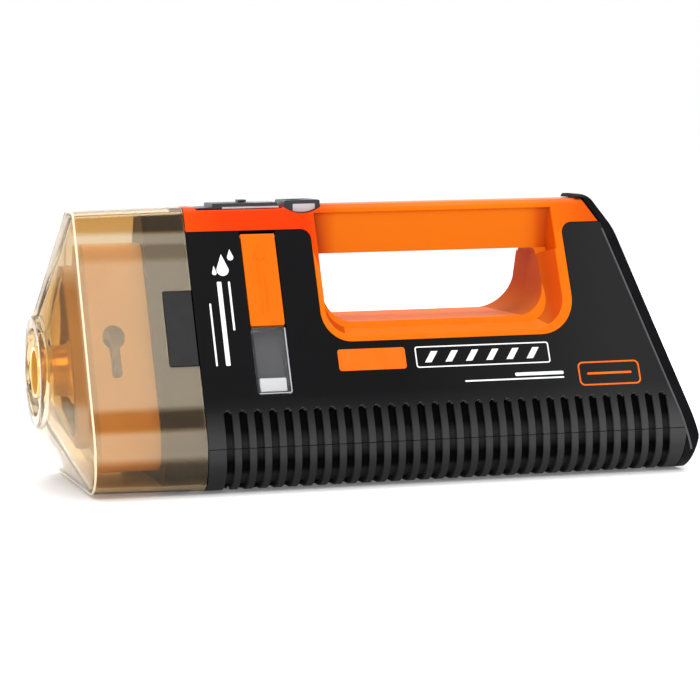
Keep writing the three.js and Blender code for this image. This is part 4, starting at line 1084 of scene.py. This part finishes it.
# ---------- controls ----------
def control_plate():
    side = [
        (-72.2, PANEL_Z, 0),
        (-34.6, PANEL_Z, 0),
        (-36.2, PANEL_TOP_Z, 0.4),
        (-65.4, PANEL_TOP_Z, 0.5),
        (-65.4, PANEL_Z + 1, 0),
        (-72.2, PANEL_Z + 0.7, 0),
    ]
    panel = prism(outline(side), -PANEL_HALF, PANEL_HALF, "y")
    cut(panel, block(KNOB_X - KNOB_TRAVEL - 2, KNOB_X + 2, -1.6, 1.6, 119, 126))
    cut(panel, block(-46.9, -37.1, -6.8, 6.8, PANEL_TOP_Z - 0.8, 126))
    finish(panel, "control_panel_moulding", "button", "housing", ["control_panel"], 0.3)
    glass = plate(-46.6, -6.5, -37.4, 6.5, 0.6, PANEL_TOP_Z - 0.6, PANEL_TOP_Z)
    finish(glass, "display_glass_pane", "gloss", "housing", ["display_glass"], 0.15)
    for s, name in ((-1, "left"), (1, "right")):
        y0, y1 = sorted((s * (PANEL_HALF - 0.2), s * (PANEL_HALF + 0.12)))
        trim = block(-61.0, -35.4, y0, y1, PANEL_Z + 0.05, PANEL_Z + 0.85)
        finish(trim, f"panel_trim_{name}", "trim", "housing", bevel=0.06)
        side_glass = block(-46.9, -37.0, y0, y1, PANEL_Z + 1.0, PANEL_TOP_Z - 0.15)
        finish(side_glass, f"display_edge_{name}", "gloss", "housing", bevel=0.06)


def slide_knob():
    knob = block(-1.8, 1.8, -3, 3, PANEL_TOP_Z + 0.25, PANEL_TOP_Z + 1.2)
    for k in range(3):
        cut(knob, block(-1.15 + k * 0.95, -0.75 + k * 0.95, -4, 4, PANEL_TOP_Z + 0.95, PANEL_TOP_Z + 4))
    join(knob, block(-1.5, 1.5, -1.3, 1.3, PANEL_Z + 0.3, PANEL_TOP_Z + 0.4))
    shifted(knob, KNOB_X, 0, 0)
    finish(knob, "slide_knob_ribbed", "button", "slide_knob", ["slide_knob"], 0.12)


def fog_button():
    x0, x1 = BUTTON_X
    side = [(x0, BUTTON_LOW_Z, 0), (x1, BUTTON_LOW_Z, 0), (x1, BUTTON_TOP_Z, 0.9), (x0, BUTTON_TOP_Z, 0.9)]
    crown = prism(outline(side), -BUTTON_HALF, BUTTON_HALF, "y")
    dish = prism(circle(60, (x0 + x1) / 2, BUTTON_TOP_Z + 59.6, 128), -7.2, 7.2, "y")
    cut(crown, dish)
    finish(crown, "fog_button_moulding", "button", "fog_button", ["fog_button"], 0.4)
    for s, name in ((-1, "left"), (1, "right")):
        y0, y1 = sorted((s * (BUTTON_HALF - 0.2), s * (BUTTON_HALF + 0.1)))
        patch = common(
            prism(outline(rectangle(-29.0, 117.9, -18.9, 122.0, 0.3)), y0, y1, "y"),
            prism(circle(SCOOP_RADIUS - 0.5, SCOOP_X, SCOOP_Z, 128), -30, 30, "y"),
        )
        finish(patch, f"fog_button_side_{name}", "trim", "fog_button", bevel=0.05)


# ---------- tail, feet ----------
def charge_flap():
    hinge = CHARGE_HALF - 1
    leaf = plate(-CHARGE_HALF, -CHARGE_HALF, CHARGE_HALF, hinge, 0.8, -1.35, -0.05)
    join(leaf, prism(circle(0.75, hinge, -0.65, 24), -CHARGE_HALF, CHARGE_HALF, "x"))
    cut(leaf, plate(-3, -CHARGE_HALF + 1, 3, -CHARGE_HALF + 2, 0.4, -0.4, 1))
    finish(
        moved(leaf, rear_frame(CHARGE_Z)), "charge_flap_rubber", "rubber", "charge_flap",
        ["charge_flap"], 0.2,
    )


def feet():
    for i, (x, y) in enumerate(FEET):
        profile = [(0.0, 2.2), (0.0, FOOT_RADIUS - 0.6), (0.3, FOOT_RADIUS), (1.7, FOOT_RADIUS), (1.7, 2.2), (0.5, 2.2)]
        foot = shifted(turned(profile, "z", 48), x, y, 0)
        join(foot, prism(circle(2.4, x, y, 32), 0.4, 1.65, "z"))
        name = f"foot_{i + 1}"
        finish(foot, name + "_pad", "rubber", "housing", [name], smooth=35)


# ---------- carried-over CAD nodes ----------
def dress(looks):
    for kind, nodes in looks.items():
        for node in nodes:
            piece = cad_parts[node]
            piece.data.materials.clear()
            piece.data.materials.append(LOOKS[kind])
            weld = piece.modifiers.new("weld", "WELD")
            weld.merge_threshold = 0.01 * MM
            rounded(piece, 0.2, 2, 40)


def numbered(name, count):
    return [f"{name}_{i + 1}" for i in range(count)]


def soften_spring():
    """Gives the button's spring a mesh of its own; the spring shortens by the button's travel, towards the seat it
    stands on, but this function does not shorten it.
    """
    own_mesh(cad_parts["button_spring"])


def carried_over():
    metal = ["heater_bracket", "flap_pin", "button_spring", "pump_motor", "charge_socket"]
    dress({
        "aluminium": ["heater_core"],
        "brass": ["spray_tip", "board_inductor"],
        "felt": ["heater_jacket"],
        "steel": [*metal, *numbered("tray_screw", 4), *numbered("rear_screw", 2)],
        "tank": ["oil_tank"],
        "rubber": ["filler_plug", "heater_lead"],
        "board": ["button_board", "main_board"],
        "gloss": ["button_switch", "power_module", "pump_head"],
        "collar": ["battery_holder"],
        "cell": ["board_capacitor", *numbered("battery_cell", 6)],
        "milky": ["feed_hose", "delivery_hose"],
    })
    soften_spring()


# ---------- studio ----------
def floor():
    mesh = bpy.data.meshes.new("floor")
    far = 9.0
    mesh.from_pydata([(-far, -far, 0), (far, -far, 0), (far, far, 0), (-far, far, 0)], [], [(0, 1, 2, 3)])
    pale = look("floor_pale", (0.86, 0.86, 0.86), (0.89, 0.89, 0.89), (0.8, 0.9), 40, 0.02, ior=1.2, glow=0.14)
    mesh.materials.append(pale)
    made = placed("floor", mesh)


def soft_light(name, place, target, wide, tall, power):
    data = bpy.data.lights.new(name, "AREA")
    data.shape = "RECTANGLE"
    data.size, data.size_y, data.energy = wide, tall, power
    lamp = placed(name, data)
    lamp.location = place
    lamp.rotation_euler = (Vector(target) - Vector(place)).to_track_quat("-Z", "Y").to_euler()


def studio():
    floor()
    world = bpy.data.worlds.new("world")
    world.use_nodes = True
    background = world.node_tree.nodes["Background"]
    background.inputs["Color"].default_value = (1, 1, 1, 1)
    background.inputs["Strength"].default_value = 1.0
    bpy.context.scene.world = world
    bpy.context.scene.view_settings.view_transform = "Standard"
    middle = (0, 0, 0.06)
    soft_light("key", (-0.7, -1.1, 1.2), middle, 0.9, 0.9, 11)
    soft_light("top", (0.1, 0.2, 1.3), middle, 1.0, 0.6, 8)
    soft_light("rim", (0.9, 0.7, 0.7), middle, 0.6, 0.6, 6)


# ---------- the machine ----------
side_shell(-1, "side_shell_left")
side_shell(1, "side_shell_right")
base_tray()
handle_halves()
seam_painted_highlight()
rear_cover()
nozzle_cap()
fog_duct()
front_collar()
outlet_tube()
filler()
level_gauge()
graphics()
control_plate()
slide_knob()
fog_button()
charge_flap()
feet()
carried_over()
studio()
